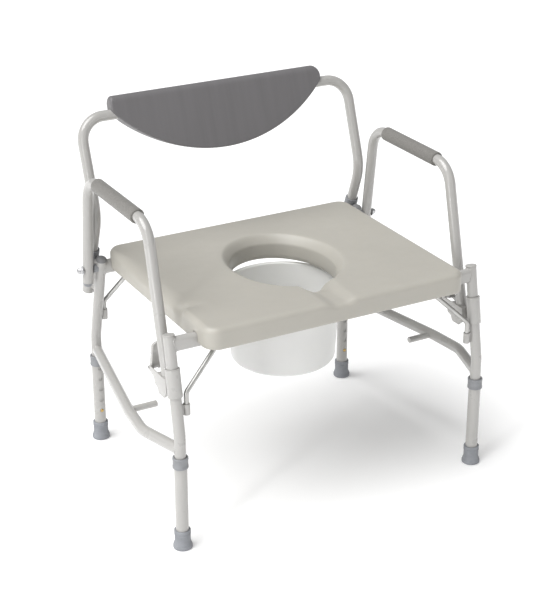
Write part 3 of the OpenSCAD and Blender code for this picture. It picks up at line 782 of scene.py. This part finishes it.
def back_pad():
    lo = low("backrest_pad")
    hi = high("backrest_pad")
    half = (hi.x - lo.x) / 2
    up = Vector((0, BACK_HIGH_LEAN, 1)).normalized()
    forward = Vector((0, -1, BACK_HIGH_LEAN)).normalized()
    origin = Vector((0, 0, KINK_Z))
    top_s = (hi.z - KINK_Z - PAD_FRONT * forward.z) / up.z
    origin.y = hi.y - top_s * up.y - PAD_FRONT * -forward.y
    low_s = top_s - PAD_TALL
    tube_s = top_s - PAD_TUBE_DOWN

    def section(x, shrink):
        ax = abs(x)
        corner = PAD_CORNERS[LEFT if x < 0 else RIGHT]
        over = max(0.0, ax - (half - corner))
        top = top_s - (corner - math.sqrt(max(0.0, corner ** 2 - over ** 2))) - shrink
        bottom = low_s + PAD_CURVE_R - math.sqrt(PAD_CURVE_R ** 2 - min(ax, half) ** 2) + shrink
        top = max(top, bottom + 12)

        def back(s):
            grown = ramp(s, low_s, tube_s - 12)
            return PAD_FRONT - mix(PAD_LIP, 2 * PAD_FRONT, grown) + shrink

        front = PAD_FRONT - shrink
        start = bottom + PAD_EDGE
        points = arc((start, front - PAD_EDGE), PAD_EDGE, 180, 90, 5)
        roll = min(PAD_TOP_ROLL, (top - bottom) * 0.42)
        for k in range(1, 13):
            points.append((mix(start, top - roll, k / 13), front))
        half_t = (front - back(top - roll)) / 2
        mid = (front + back(top - roll)) / 2
        for k in range(13):
            a = math.radians(90 - 180 * k / 12)
            points.append((top - roll + roll * math.cos(a), mid + half_t * math.sin(a)))
        for k in range(1, 13):
            s = mix(top - roll, start, k / 13)
            points.append((s, back(s)))
        points += arc((start, back(start) + PAD_EDGE), PAD_EDGE, 270, 180, 5)
        return [origin + Vector((x, 0, 0)) + up * s + forward * n for s, n in points]

    rows = []
    inner = half - PAD_EDGE
    turns = [math.radians(90 * k / 6) for k in range(7)]
    for a in turns:
        rows.append(section(-(inner + PAD_EDGE * math.cos(a)), PAD_EDGE * (1 - math.sin(a))))
    for k in range(1, PAD_STEPS):
        rows.append(section(-inner * math.cos(math.pi * k / PAD_STEPS), 0))
    for a in turns:
        rows.append(section(inner + PAD_EDGE * math.sin(a), PAD_EDGE * (1 - math.cos(a))))
    shape = Shape()
    shape.loft(rows, cap_start=True, cap_end=True)
    pad = make("back_pad", shape, "backrest", "pad_plastic", ["backrest_pad"], sharp=50)


# ---- frame tubes

def leg_path(end, side):
    foot, bend, way = leg_axis(end, side)
    top = bend + way * ((LEG_TOP_Z - bend.z) / way.z)
    return bent([top, bend, Vector((foot.x, foot.y, LEG_END_Z))], [LEG_BEND_R])


def arm_path(side):
    sign = SIDES[side]
    pivot = joint_at(f"arm_drop_{side}")
    shift = middle("seat").y

    def rear(z):
        return Vector((sign * ARM_X, pivot.y - ARM_REAR_LEAN * (z - pivot.z), z))

    def front(z):
        return Vector((sign * ARM_X, ARM_FRONT_Y + shift - ARM_FRONT_LEAN * (ARM_Z - z), z))

    rear_z, front_z = ARM_ENDS_Z
    return bent([rear(rear_z), rear(ARM_Z), front(ARM_Z), front(front_z)], [ARM_BEND_R] * 2)


def legs():
    for end, side in LEGS:
        foot = leg_axis(end, side)[0]
        shape = Shape()
        hollow_tube(shape, leg_path(end, side), TUBE_R, TUBE_BORE_R)
        button = middle(f"button_{end}_{side}")
        facing = Vector((0, 1 if button.y > foot.y else -1, 0))
        cutters = [hole(Vector((foot.x, foot.y, button.z)), facing, LEG_HOLE_R, 20)]
        if end == "rear":
            pivot = joint_at(f"arm_drop_{side}")
            start = Vector((foot.x, pivot.y, pivot.z))
            cutters.append(hole(start, Vector((SIDES[side], 0, 0)), LEG_HOLE_R, 20))
        make(
            f"leg_tube_{end}_{side}", shape, "frame", "frame_paint",
            [f"{end}_leg_{side}"], cutters=cutters,
        )


def arms():
    for side, sign in SIDES.items():
        shape = Shape()
        hollow_tube(shape, arm_path(side), TUBE_R, TUBE_BORE_R)
        pivot = joint_at(f"arm_drop_{side}")
        start = Vector((pivot.x - sign * 20, pivot.y, pivot.z))
        make(
            f"arm_bar_{side}", shape, f"arm_{side}", "frame_paint",
            [f"arm_tube_{side}"], cutters=[hole(start, Vector((sign, 0, 0)), ARM_HOLE_R, 40)],
        )


def back_frame():
    low_y = KINK_Y + BACK_LOW_LEAN * (KINK_Z - BACK_END_Z)
    high_y = KINK_Y + BACK_HIGH_LEAN * (BACK_TOP_Z - KINK_Z)
    half = [
        from_seat(BACK_X, low_y, BACK_END_Z),
        from_seat(BACK_X, KINK_Y, KINK_Z),
        from_seat(BACK_X, high_y, BACK_TOP_Z),
    ]
    other = [Vector((-p.x, p.y, p.z)) for p in reversed(half)]
    kink, corner = BACK_BENDS
    shape = Shape()
    hollow_tube(shape, bent(half + other, [kink, corner, corner, kink]), TUBE_R, TUBE_BORE_R)
    make("back_bar", shape, "backrest", "frame_paint", ["backrest_tube"])


def braces():
    for side, sign in SIDES.items():
        rear = Vector((*leg_axis("rear", side)[0].xy, BRACE_Z))
        front = Vector((*leg_axis("front", side)[0].xy, BRACE_Z))
        bends = [from_seat(sign * x, y, BRACE_Z) for x, y in BRACE_MIDDLE]
        start = rear + (bends[0] - rear).normalized() * BRACE_START
        end = front + (bends[1] - front).normalized() * BRACE_START
        shape = Shape()
        hollow_tube(shape, bent([start, *bends, end], BRACE_BENDS), TUBE_R, TUBE_BORE_R)
        tip = from_seat(sign * PEG_IN_X, PEG_Y, BRACE_Z)
        share = (rear.y - tip.y) / (rear.y - bends[0].y)
        length = abs(mix(rear.x, bends[0].x, share) - sign * PEG_INSIDE - tip.x)
        peg = [(0.4, 0), (PEG_R - 0.7, 0), (PEG_R, 0.7), (PEG_R, length), (0.4, length)]
        lathe(shape, peg, tip, Vector((sign, 0, 0)), sides=40)
        make(f"brace_{side}", shape, "frame", "frame_paint", [f"side_brace_{side}"])


def rail_outline(end):
    lo = low(f"{end}_cross_rail")
    hi = high(f"{end}_cross_rail")
    r = RAIL_CORNER_R
    corners = [
        (hi.y - r, hi.z - r), (lo.y + r, hi.z - r), (lo.y + r, lo.z + r), (hi.y - r, lo.z + r),
    ]
    outline = []
    for i, corner in enumerate(corners):
        outline += arc(corner, r, 90 * i, 90 * i + 90, 10)
    return outline


def rails():
    for end in ("front", "rear"):
        reach = abs(leg_axis(end, "right")[0].x) - 4
        rows = []
        for k in range(RAIL_STEPS + 1):
            x = mix(-reach, reach, k / RAIL_STEPS)
            rows.append([Vector((x, y, z)) for y, z in rail_outline(end)])
        shape = Shape()
        shape.loft(rows, cap_start=True, cap_end=True)
        make(
            f"{end}_rail", shape, "frame", "frame_paint", [f"{end}_cross_rail"], sharp=50,
        )


def rod_cups():
    """Short cups on the legs that hold the feet of the support rods."""
    lo = low("rod_sockets")
    hi = high("rod_sockets")
    shape = Shape()
    for end, side in LEGS:
        sign = SIDES[side]
        foot, bend, way = leg_axis(end, side)
        rod = f"rod_{end}_{side}"
        x = max(abs(low(rod).x), abs(high(rod).x)) - ROD_R
        y = bend.y + way.y / way.z * (CUP_LEVEL_Z - bend.z)
        z = lo.z if end == "front" else hi.z - CUP_TALL
        profile = [(0.4, 0.9), (2.4, 0.6), (5.6, 0.0), (6.6, 0.4), (CUP_R, 1.2), (CUP_R, CUP_TALL - 1)]
        profile += [(6.7, CUP_TALL - 0.2), (6.3, CUP_TALL), (5.3, CUP_TALL - 0.2)]
        profile += [(CUP_BORE_R, CUP_TALL - 0.8), (CUP_BORE_R, 2.0), (0.4, 2.0)]
        lathe(shape, profile, Vector((sign * x, y, z)), UP, sides=48)
        web = [
            (y - 2.5, z + 1.4), (y - 2.5, z + 21.6), (y - 1.7, z + 22.6), (y + 1.7, z + 22.6),
            (y + 2.5, z + 21.6), (y + 2.5, z + 1.4), (y + 1.7, z + 0.5), (y - 1.7, z + 0.5),
        ]
        prism(shape, web, *sorted((sign * (x + 6.2), sign * (abs(foot.x) - 9.9))))
    make("rod_cups", shape, "frame", "frame_paint", ["rod_sockets"], sharp=35)


# ---- latch

def sleeves():
    lo = low("latch_sleeves")
    hi = high("latch_sleeves")
    shape = Shape()
    for side in SIDES:
        _, bend, way = leg_axis("front", side)
        base = bend + way * ((lo.z + SLEEVE_RAISED - bend.z) / way.z)
        top = (hi.z - lo.z - SLEEVE_SHORTER) / way.z
        r = SLEEVE_R
        profile = [(TUBE_R + 0.08, 0.8), (TUBE_R + 0.8, 0.0), (r - 1.2, 0.0), (r - 0.3, 0.4), (r, 1.4)]
        profile += [(r, top - 9), (r + 0.1, top - 7.5), (r + 0.25, top - 6), (r + 0.25, top - 1.6)]
        profile += [(r - 0.1, top - 0.5), (r - 1.0, top), (TUBE_R + 1.4, top)]
        profile += [(TUBE_R + 0.5, top - 0.6), (TUBE_R + 0.08, top - 1.8)]
        lathe(shape, profile, base, way, sides=72, wrap=True)
    make("latch_collars", shape, "frame", "latch_plastic", ["latch_sleeves"], "frame_paint")


def latch_cases():
    shift = middle("seat").y
    for side, sign in SIDES.items():
        x = sign * ARM_X
        shape = Shape()
        outline = [(y + shift, z) for y, z in round_corners(CASE_OUTLINE, LATCH_ROUND)]
        prism(shape, outline, x - LATCH_HALF, x + LATCH_HALF)
        room = Shape()
        slot = [(y + shift, z) for y, z in CASE_SLOT]
        prism(room, slot, x - LATCH_SLOT_HALF, x + LATCH_SLOT_HALF)
        front, way = arm_ends(side)[1]
        bore = hole(front + way * 40, -way, TUBE_R + 0.1, 120)
        make(
            f"latch_case_{side}", shape, f"arm_{side}", "latch_plastic",
            [f"latch_housing_{side}"], "frame_paint", bevel=0.7, cutters=[room, bore],
        )


def latch_levers():
    shift = middle("seat").y
    for side, sign in SIDES.items():
        pivot = joint_at(f"latch_release_{side}")
        outline = [Vector((0, y + shift, z)) for y, z in round_corners(LEVER_OUTLINE, LATCH_ROUND)]
        centre = sum(outline, Vector()) / len(outline)
        spread = [(-1, 0.8), (-0.96, 0.95)]
        spread += [(mix(-0.92, 0.92, k / 18), 1.0) for k in range(19)] + [(0.96, 0.95), (1, 0.8)]
        shape = Shape()
        rows = []
        for across, share in spread:
            x = across * LEVER_HALF
            limit = LEVER_TOP_Z - LEVER_HALF + math.sqrt(max(0.0, LEVER_HALF ** 2 - x * x))
            row = []
            for p in outline:
                y = centre.y + (p.y - centre.y) * share
                z = centre.z + (p.z - centre.z) * mix(1, share, 0.3)
                lift = (z - centre.z) / (LEVER_TOP_Z - centre.z)
                z = z - (LEVER_TOP_Z - limit) * smooth(lift * 1.4 - 0.4)
                row.append(Vector((sign * ARM_X + x, y, z)))
            rows.append(row)
        shape.loft(rows, cap_start=True, cap_end=True)
        for sense in (LEFT, RIGHT):
            start = Vector((sign * ARM_X + sense * LEVER_HUB_X, pivot.y, pivot.z))
            r = LEVER_HUB_R
            ring = [(2.7, 0), (r - 0.5, 0), (r, 0.5), (r, 5.3), (r - 0.5, 5.8), (2.7, 5.8)]
            lathe(shape, ring, start, Vector((sense, 0, 0)), sides=40, wrap=True)
        make(
            f"release_lever_{side}", shape, f"lever_{side}", "latch_plastic",
            [f"latch_lever_{side}"], "frame_paint", sharp=45,
        )


# ---- arms

GRIP_ROUND = 3.5
GRIP_STEPS = 40
GRIP_UNEVEN = 0.12
GRIP_SEEDS = {"left": 11, "right": 12}
PLUG_R = 9.5
NUT_SIDES = 48
# Rows of a nut: height, distance to its corners, and how much of it the chamfer leaves
NUT_ROWS = ((1.55, 7.0, 1.0), (1.9, 7.5, 1.0), (6.6, 7.5, 1.0), (7.2, 7.0, 0.985))


def grips():
    for side in SIDES:
        node = f"arm_grip_{side}"
        lo = low(node)
        hi = high(node)
        r = (hi.z - lo.z) / 2
        length = hi.y - lo.y
        turn = GRIP_ROUND
        rng = random.Random(GRIP_SEEDS[side])
        profile = [(TUBE_R + 0.2, 1.5), (TUBE_R + 0.6, 0.4)]
        profile += arc((r - turn, turn), turn, 270, 360, 8)
        for k in range(1, GRIP_STEPS):
            along = mix(turn, length - turn, k / GRIP_STEPS)
            profile.append((r - GRIP_UNEVEN * rng.random(), along))
        profile += arc((r - turn, length - turn), turn, 0, 90, 8)
        profile += [(TUBE_R + 0.6, length - 0.4), (TUBE_R + 0.2, length - 1.5)]
        shape = Shape()
        lathe(shape, profile, Vector((middle(node).x, lo.y, middle(node).z)), ALONG, wrap=True)
        grip = make(f"grip_{side}", shape, f"arm_{side}", "grip_foam", [node])


def arm_ends(side):
    """The rear and the front end of an arm's tube: the point, and the way out of it."""
    pivot = joint_at(f"arm_drop_{side}")
    rear_z, front_z = ARM_ENDS_Z
    rear_way = Vector((0, ARM_REAR_LEAN, -1)).normalized()
    rear = Vector((pivot.x, pivot.y - ARM_REAR_LEAN * (rear_z - pivot.z), rear_z))
    front_way = Vector((0, -ARM_FRONT_LEAN, -1)).normalized()
    front_y = low(f"arm_tube_{side}").y - TUBE_R * front_way.z
    return (rear, rear_way), (Vector((pivot.x, front_y, front_z)), front_way)


def arm_plugs():
    stem = [(0.4, -6), (PLUG_R, -6), (PLUG_R, 0.1)]
    bulb = stem + [(10.4, 0.3), (10.4, 2.4), (9.9, 2.9), *dome(9.4, 8.4, 3.2, range(0, 85, 12)), (0.4, 11.6)]
    button = stem + [(10.6, 0.2), (10.6, 1.5), (9.8, 2.2), (0.4, 2.4)]
    for side in SIDES:
        shape = Shape()
        for profile, (end, way) in zip((bulb, button), arm_ends(side)):
            lathe(shape, profile, end, way)
        make(f"plug_{side}", shape, f"arm_{side}", "cap_plastic", [f"arm_plugs_{side}"], "collar_plastic")


def pivots():
    nuts = Shape()
    washers = Shape()
    washer = [(4.1, 0), (8.6, 0), (9.0, 0.4), (9.0, 1.1), (8.6, 1.5), (4.1, 1.5)]
    for side, sign in SIDES.items():
        pivot = joint_at(f"arm_drop_{side}")
        way = Vector((sign, 0, 0))
        base = Vector((sign * (abs(pivot.x) + TUBE_R + 0.3), pivot.y, pivot.z))
        lathe(washers, washer, base, way, wrap=True)
        u, w = square_axes(way)
        rows = []
        for height, corner, left in NUT_ROWS:
            row = []
            for k, spoke in enumerate(around(Vector(), u, w, 1, NUT_SIDES)):
                a = 2 * math.pi * k / NUT_SIDES % (math.pi / 3)
                r = corner * math.cos(math.pi / 6) / math.cos(a - math.pi / 6)
                row.append(base + way * height + spoke * min(r, corner * left))
            rows.append(row)
        for k in range(9):
            a = math.radians(88 * k / 8)
            at = base + way * (7.3 + 5.2 * math.sin(a))
            rows.append(around(at, u, w, 6.0 * math.cos(a), NUT_SIDES))
        nuts.loft(rows, cap_start=True, cap_end=True)
    make("pivot_domed_nuts", nuts, "frame", "chrome", ["pivot_nuts"], sharp=30)
    make("pivot_washers", washers, "frame", "chrome")


# ---- legs

TIP_NECK_R = 15.6
EXTENSION_FIT_R = 12.75
STUD_R = 3.55
CAP_R = TUBE_R + 0.5
RING_HALF_TALL = 10.0
RING_R = 14.5


def foot_tips():
    for end, side in LEGS:
        node = f"foot_tip_{end}_{side}"
        r = (high(node).x - low(node).x) / 2
        neck = TIP_NECK_R
        profile = [(4.0, 1.6), (8.0, 1.6), (8.8, 0.3), (12.4, 0.3), (13.2, 1.6), (14.6, 1.6), (15.2, 0.0)]
        profile += [(17.6, 0.0), (r - 0.3, 0.7), (r, 1.8), (r, 6.2), (r - 0.5, 7.2)]
        profile += [(mix(r - 1.0, neck + 0.1, smooth(k / 6)), 7.6 + k * 1.45) for k in range(7)]
        profile += [(neck, 18), (neck, 29.8), (neck + 0.6, 30.4), (neck + 0.6, 32.2)]
        profile += [(neck, 32.8), (neck, 34.0), (neck + 0.6, 34.6), (neck + 0.6, 38.4)]
        profile += arc((neck - 0.8, 38.6), 1.4, 0, 90, 4)
        profile += [(13.2, 40.0), (EXTENSION_FIT_R, 39.4), (EXTENSION_FIT_R, 7.0), (4.0, 7.0)]
        shape = Shape()
        lathe(shape, profile, foot_of(node), UP, wrap=True)
        make(f"tip_{end}_{side}", shape, f"leg_{end}_{side}", "tip_rubber", [node])


def leg_collars():
    for end, side in LEGS:
        node = f"collar_{end}_{side}"
        r = (high(node).x - low(node).x) / 2
        tall = high(node).z - low(node).z
        profile = [(EXTENSION_FIT_R, 0.6), (13.3, 0.0), (r - 1.6, 0.0)]
        profile += arc((r - 1.4, 1.4), 1.4, 270, 360, 5)
        profile += [(r, 4.4), (r - 0.5, 5.0), (r - 0.5, tall - 5.4), (r, tall - 4.8)]
        profile += arc((r - 1.8, tall - 1.8), 1.8, 0, 90, 6)
        profile += [(TUBE_R + 1.2, tall), (TUBE_R + 0.45, tall - 0.9), (TUBE_R + 0.45, tall - 5)]
        profile += [(EXTENSION_FIT_R, tall - 5)]
        shape = Shape()
        lathe(shape, profile, foot_of(node), UP, wrap=True)
        make(
            f"slip_collar_{end}_{side}", shape, f"leg_{end}_{side}", "collar_plastic", [node],
        )


def snap_buttons():
    """Domed studs that stand proud of the extension through its hole."""
    profile = [(0.3, 6.3), (4.8, 6.3), (5.0, 6.5), (5.0, 7.0), (4.7, 7.2), (STUD_R, 7.2), (STUD_R, 12.6)]
    profile += dome(STUD_R, 2.4, 12.6, range(10, 90, 10))
    for end, side in LEGS:
        node = f"button_{end}_{side}"
        foot = middle(f"collar_{end}_{side}")
        at = middle(node)
        way = Vector((0, 1 if at.y > foot.y else -1, 0))
        shape = Shape()
        lathe(shape, profile, Vector((foot.x, foot.y, at.z)), way, sides=40)
        make(
            f"snap_stud_{end}_{side}", shape, f"snap_button_{end}_{side}", "button_brass", [node],
        )


def leg_caps():
    stem = [(0.4, -8), (9.4, -8), (9.4, 0.05), (CAP_R - 0.1, 0.1)]
    flat = stem + [(CAP_R, 0.7), (CAP_R, 2.1), *arc((TUBE_R - 0.9, 2.1), 1.4, 0, 90, 5), (0.4, 3.55)]
    domed = stem + [(CAP_R, 0.5), (CAP_R, 1.6), (TUBE_R, 2.0), *dome(TUBE_R, 6.9, 2.1, range(6, 90, 7))]
    for end, profile, finish in (("front", flat, "latch_plastic"), ("rear", domed, "cap_plastic")):
        shape = Shape()
        for side in SIDES:
            _, bend, way = leg_axis(end, side)
            lathe(shape, profile, bend + way * ((LEG_TOP_Z - bend.z) / way.z), way)
        make(f"{end}_caps", shape, "frame", "cap_plastic", [f"{end}_leg_caps"], finish)


def socket_rings():
    shape = Shape()
    way = Vector((0, -BACK_LOW_LEAN, 1)).normalized()
    centre = middle("socket_collars")
    x = high("socket_collars").x - RING_R
    profile = [(13.05, 0.4), (13.6, 0.0)] + arc((13.5, 1.0), 1.0, 270, 360, 4)
    profile += [(RING_R, 13.5), (14.1, 16.0), (14.1, 18.0)] + arc((12.5, 18.4), 1.6, 0, 90, 5)
    profile += [(11.9, 20.0), (11.55, 19.4), (11.55, 16.2), (13.05, 16.0)]
    for sign in SIDES.values():
        base = Vector((sign * x, centre.y, centre.z)) - way * RING_HALF_TALL
        lathe(shape, profile, base, way, wrap=True)
    make("socket_rings", shape, "frame", "collar_plastic", ["socket_collars"])


# ---- welds

BEAD_STEPS = 4
RAIL_BEAD = 1.5
BRACE_BEAD = 1.3
PEG_BEAD = 0.9


def onto_tube(point, way, axis_at, axis_way, radius):
    """Where a line first meets a tube's surface, or where it passes closest."""
    flat_way = way - axis_way * way.dot(axis_way)
    apart = point - axis_at
    flat = apart - axis_way * apart.dot(axis_way)
    a = flat_way.dot(flat_way)
    b = 2 * flat.dot(flat_way)
    c = flat.dot(flat) - radius * radius
    inside = max(0.0, b * b - 4 * a * c)
    return point + way * ((-b - math.sqrt(inside)) / (2 * a))


def bead(shape, path, size, seed):
    """A weld bead along a closed path, with the ripples of its runs."""
    rng = random.Random(seed)
    fine = []
    for i, point in enumerate(path):
        for k in range(BEAD_STEPS):
            fine.append(point.lerp(path[(i + 1) % len(path)], k / BEAD_STEPS))
    offsets = [rng.uniform(-0.12, 0.12) for _ in fine]
    sweep(shape, fine, lambda i: size * (1 + 0.10 * math.sin(i * 1.3) + offsets[i]), 10, closed=True)


def welds():
    shape = Shape()
    for number, (end, side) in enumerate(LEGS, 1):
        outward = Vector((SIDES[side], 0, 0))
        foot, bend, way = leg_axis(end, side)
        outline = rail_outline(end)[::2]
        path = [onto_tube(Vector((0, y, z)), outward, bend, way, TUBE_R) for y, z in outline]
        bead(shape, path, RAIL_BEAD, number)
        x, y = BRACE_MIDDLE[0 if end == "rear" else 1]
        near = from_seat(SIDES[side] * x, y, BRACE_Z)
        level = Vector((foot.x, foot.y, BRACE_Z))
        run = (level - near).normalized()
        starts = around(near, *square_axes(run), TUBE_R * 0.97, 24)
        path = [onto_tube(start, run, level, UP, TUBE_R) for start in starts]
        bead(shape, path, BRACE_BEAD, number + 40)
    for number, (side, sign) in enumerate(SIDES.items(), 5):
        rear = leg_axis("rear", side)[0]
        level = Vector((rear.x, rear.y, BRACE_Z))
        x, y = BRACE_MIDDLE[0]
        run = (from_seat(sign * x, y, BRACE_Z) - level).normalized()
        starts = around(from_seat(sign * PEG_IN_X, PEG_Y, BRACE_Z), ALONG, UP, PEG_R, 20)
        path = [onto_tube(start, Vector((sign, 0, 0)), level, run, TUBE_R) for start in starts]
        bead(shape, path, PEG_BEAD, number + 80)
    make("frame_welds", shape, "frame", "frame_paint")


# ---- pail

PAIL_LIP = 8.5
PAIL_TAPER = 9.0
PAIL_WALL = 2.2
PAIL_DEEPER = 7.0


def pail():
    lo = low("pail")
    hi = high("pail")
    rim_r = (hi.y - lo.y) / 2
    top_r = rim_r - PAIL_LIP
    low_r = top_r - PAIL_TAPER
    floor_z = lo.z - PAIL_DEEPER
    wall = PAIL_WALL
    profile = [(0.5, floor_z + 3.2), (low_r - 40, floor_z + 3.2), (low_r - 38, floor_z + wall)]
    profile += [(low_r - 12, floor_z + wall)] + arc((low_r - 11, floor_z + 11), 9, 270, 352, 8)
    for t in (0.25, 0.5, 0.75, 1):
        profile.append((mix(low_r - wall, top_r - wall, t), mix(floor_z + 14, hi.z - 2, t)))
    profile += arc((top_r + 1.2, hi.z - 3.2), 3.2, 170, 90, 5)
    profile += arc((rim_r - 3.0, hi.z - 3.0), 3.0, 90, -60, 9)
    profile += [(rim_r - 2.4, hi.z - 6.0), (rim_r - 3.4, hi.z - 3.2), (top_r + 2.4, hi.z - 3.4)]
    profile += [(top_r + 0.4, hi.z - 5)]
    for t in (0.8, 0.5, 0.25):
        profile.append((mix(low_r, top_r, t), mix(floor_z + 11, hi.z - 5, t)))
    profile += arc((low_r - 11, floor_z + 11), 11, 355, 272, 9)
    profile += [(low_r - 16, floor_z), (low_r - 18, floor_z + 0.9), (0.5, floor_z + 0.9)]
    shape = Shape()
    lathe(shape, profile, Vector((0, (lo.y + hi.y) / 2, 0)), UP, sides=128)
    hinge = joint_at("pail_handle_swing")
    boss = [(0.3, -4), (6.0, -4), (6.0, 2.6), (5.4, 3.2), (1.7, 3.3), (1.7, 8.6), (1.2, 9.1), (0.3, 9.1)]
    for sign in (LEFT, RIGHT):
        at = Vector((sign * (top_r - 1.7), hinge.y, hinge.z))
        lathe(shape, boss, at, Vector((sign, 0, 0)), sides=32)
    make("pail_body", shape, "pail", "pail_plastic", ["pail"], sharp=45)


# ---- carried-over nodes

def repaint():
    slots = {part["node"]: part["material_slot"] for part in frame["record"]["subparts"]}
    for node, item in frame["nodes"].items():
        for spot in item.material_slots:
            spot.material = FINISHES[slots[node]]


# ---- stage

# In metres, watts and degrees
FLOOR_HALF = 30.0
FLOOR_GAP = 0.0005
SUN_TOWARDS = (0.50, -0.02, -1.0)
SUN_STRENGTH = 3.0
SUN_ANGLE = 50
STRIPS_AIM = (0, 0, 0.45)
# Narrow lights that draw the streaks on the tubes: place, size and power
STRIPS = {
    "strip_left": ((-2.3, -1.3, 1.0), (0.2, 2.2), 17),
    "strip_front": ((0.6, -2.8, 1.6), (0.2, 1.6), 3),
}


def floor():
    corners = [(x * FLOOR_HALF, y * FLOOR_HALF, 0) for x, y in ((-1, -1), (1, -1), (1, 1), (-1, 1))]
    mesh = bpy.data.meshes.new("floor")
    mesh.from_pydata(corners, [], [(0, 1, 2, 3)])
    mesh.materials.append(floor_finish())
    plane = add_object("floor", mesh)
    plane.location.z = low("foot_tip_front_left").z * MM - FLOOR_GAP


def aim(item, way):
    item.rotation_euler = Vector(way).to_track_quat("-Z", "Y").to_euler()


def strip_light(name, at, size, watts):
    lamp = bpy.data.lights.new(name, "AREA")
    lamp.shape = "RECTANGLE"
    lamp.size, lamp.size_y = size
    lamp.energy = watts
    item = add_object(name, lamp)
    item.location = at
    aim(item, Vector(STRIPS_AIM) - Vector(at))


def sun():
    lamp = bpy.data.lights.new("overhead", "SUN")
    lamp.energy = SUN_STRENGTH
    lamp.angle = math.radians(SUN_ANGLE)
    aim(add_object("overhead", lamp), SUN_TOWARDS)


def studio():
    """Even white light; the camera sees a plain white backdrop behind the floor."""
    world = bpy.data.worlds.new("studio")
    bpy.context.scene.world = world
    world.use_nodes = True
    tree = world.node_tree
    light = tree.nodes["Background"]
    backdrop = tree.nodes.new("ShaderNodeBackground")
    for node, strength in ((light, WORLD_LIGHT), (backdrop, 1.0)):
        node.inputs["Color"].default_value = (1, 1, 1, 1)
        node.inputs["Strength"].default_value = strength
    path = tree.nodes.new("ShaderNodeLightPath")
    blend = tree.nodes.new("ShaderNodeMixShader")
    tree.links.new(path.outputs["Is Camera Ray"], blend.inputs["Fac"])
    tree.links.new(light.outputs["Background"], blend.inputs[1])
    tree.links.new(backdrop.outputs["Background"], blend.inputs[2])
    tree.links.new(blend.outputs["Shader"], tree.nodes["World Output"].inputs["Surface"])
    sun()
    for name, strip in STRIPS.items():
        strip_light(name, *strip)
    bpy.context.scene.view_settings.view_transform = "Standard"


def camera():
    lens = bpy.data.cameras.new("camera")
    lens.lens = CAMERA_LENS
    item = add_object("camera", lens)
    item.location = CAMERA_AT
    item.rotation_euler = (math.radians(90 - CAMERA_ELEVATION), 0, math.radians(CAMERA_AZIMUTH))
    bpy.context.scene.camera = item


camera()
repaint()
seat()
back_pad()
legs()
arms()
back_frame()
braces()
rails()
rod_cups()
sleeves()
latch_cases()
latch_levers()
grips()
arm_plugs()
pivots()
foot_tips()
leg_collars()
snap_buttons()
leg_caps()
socket_rings()
welds()
pail()
floor()
studio()
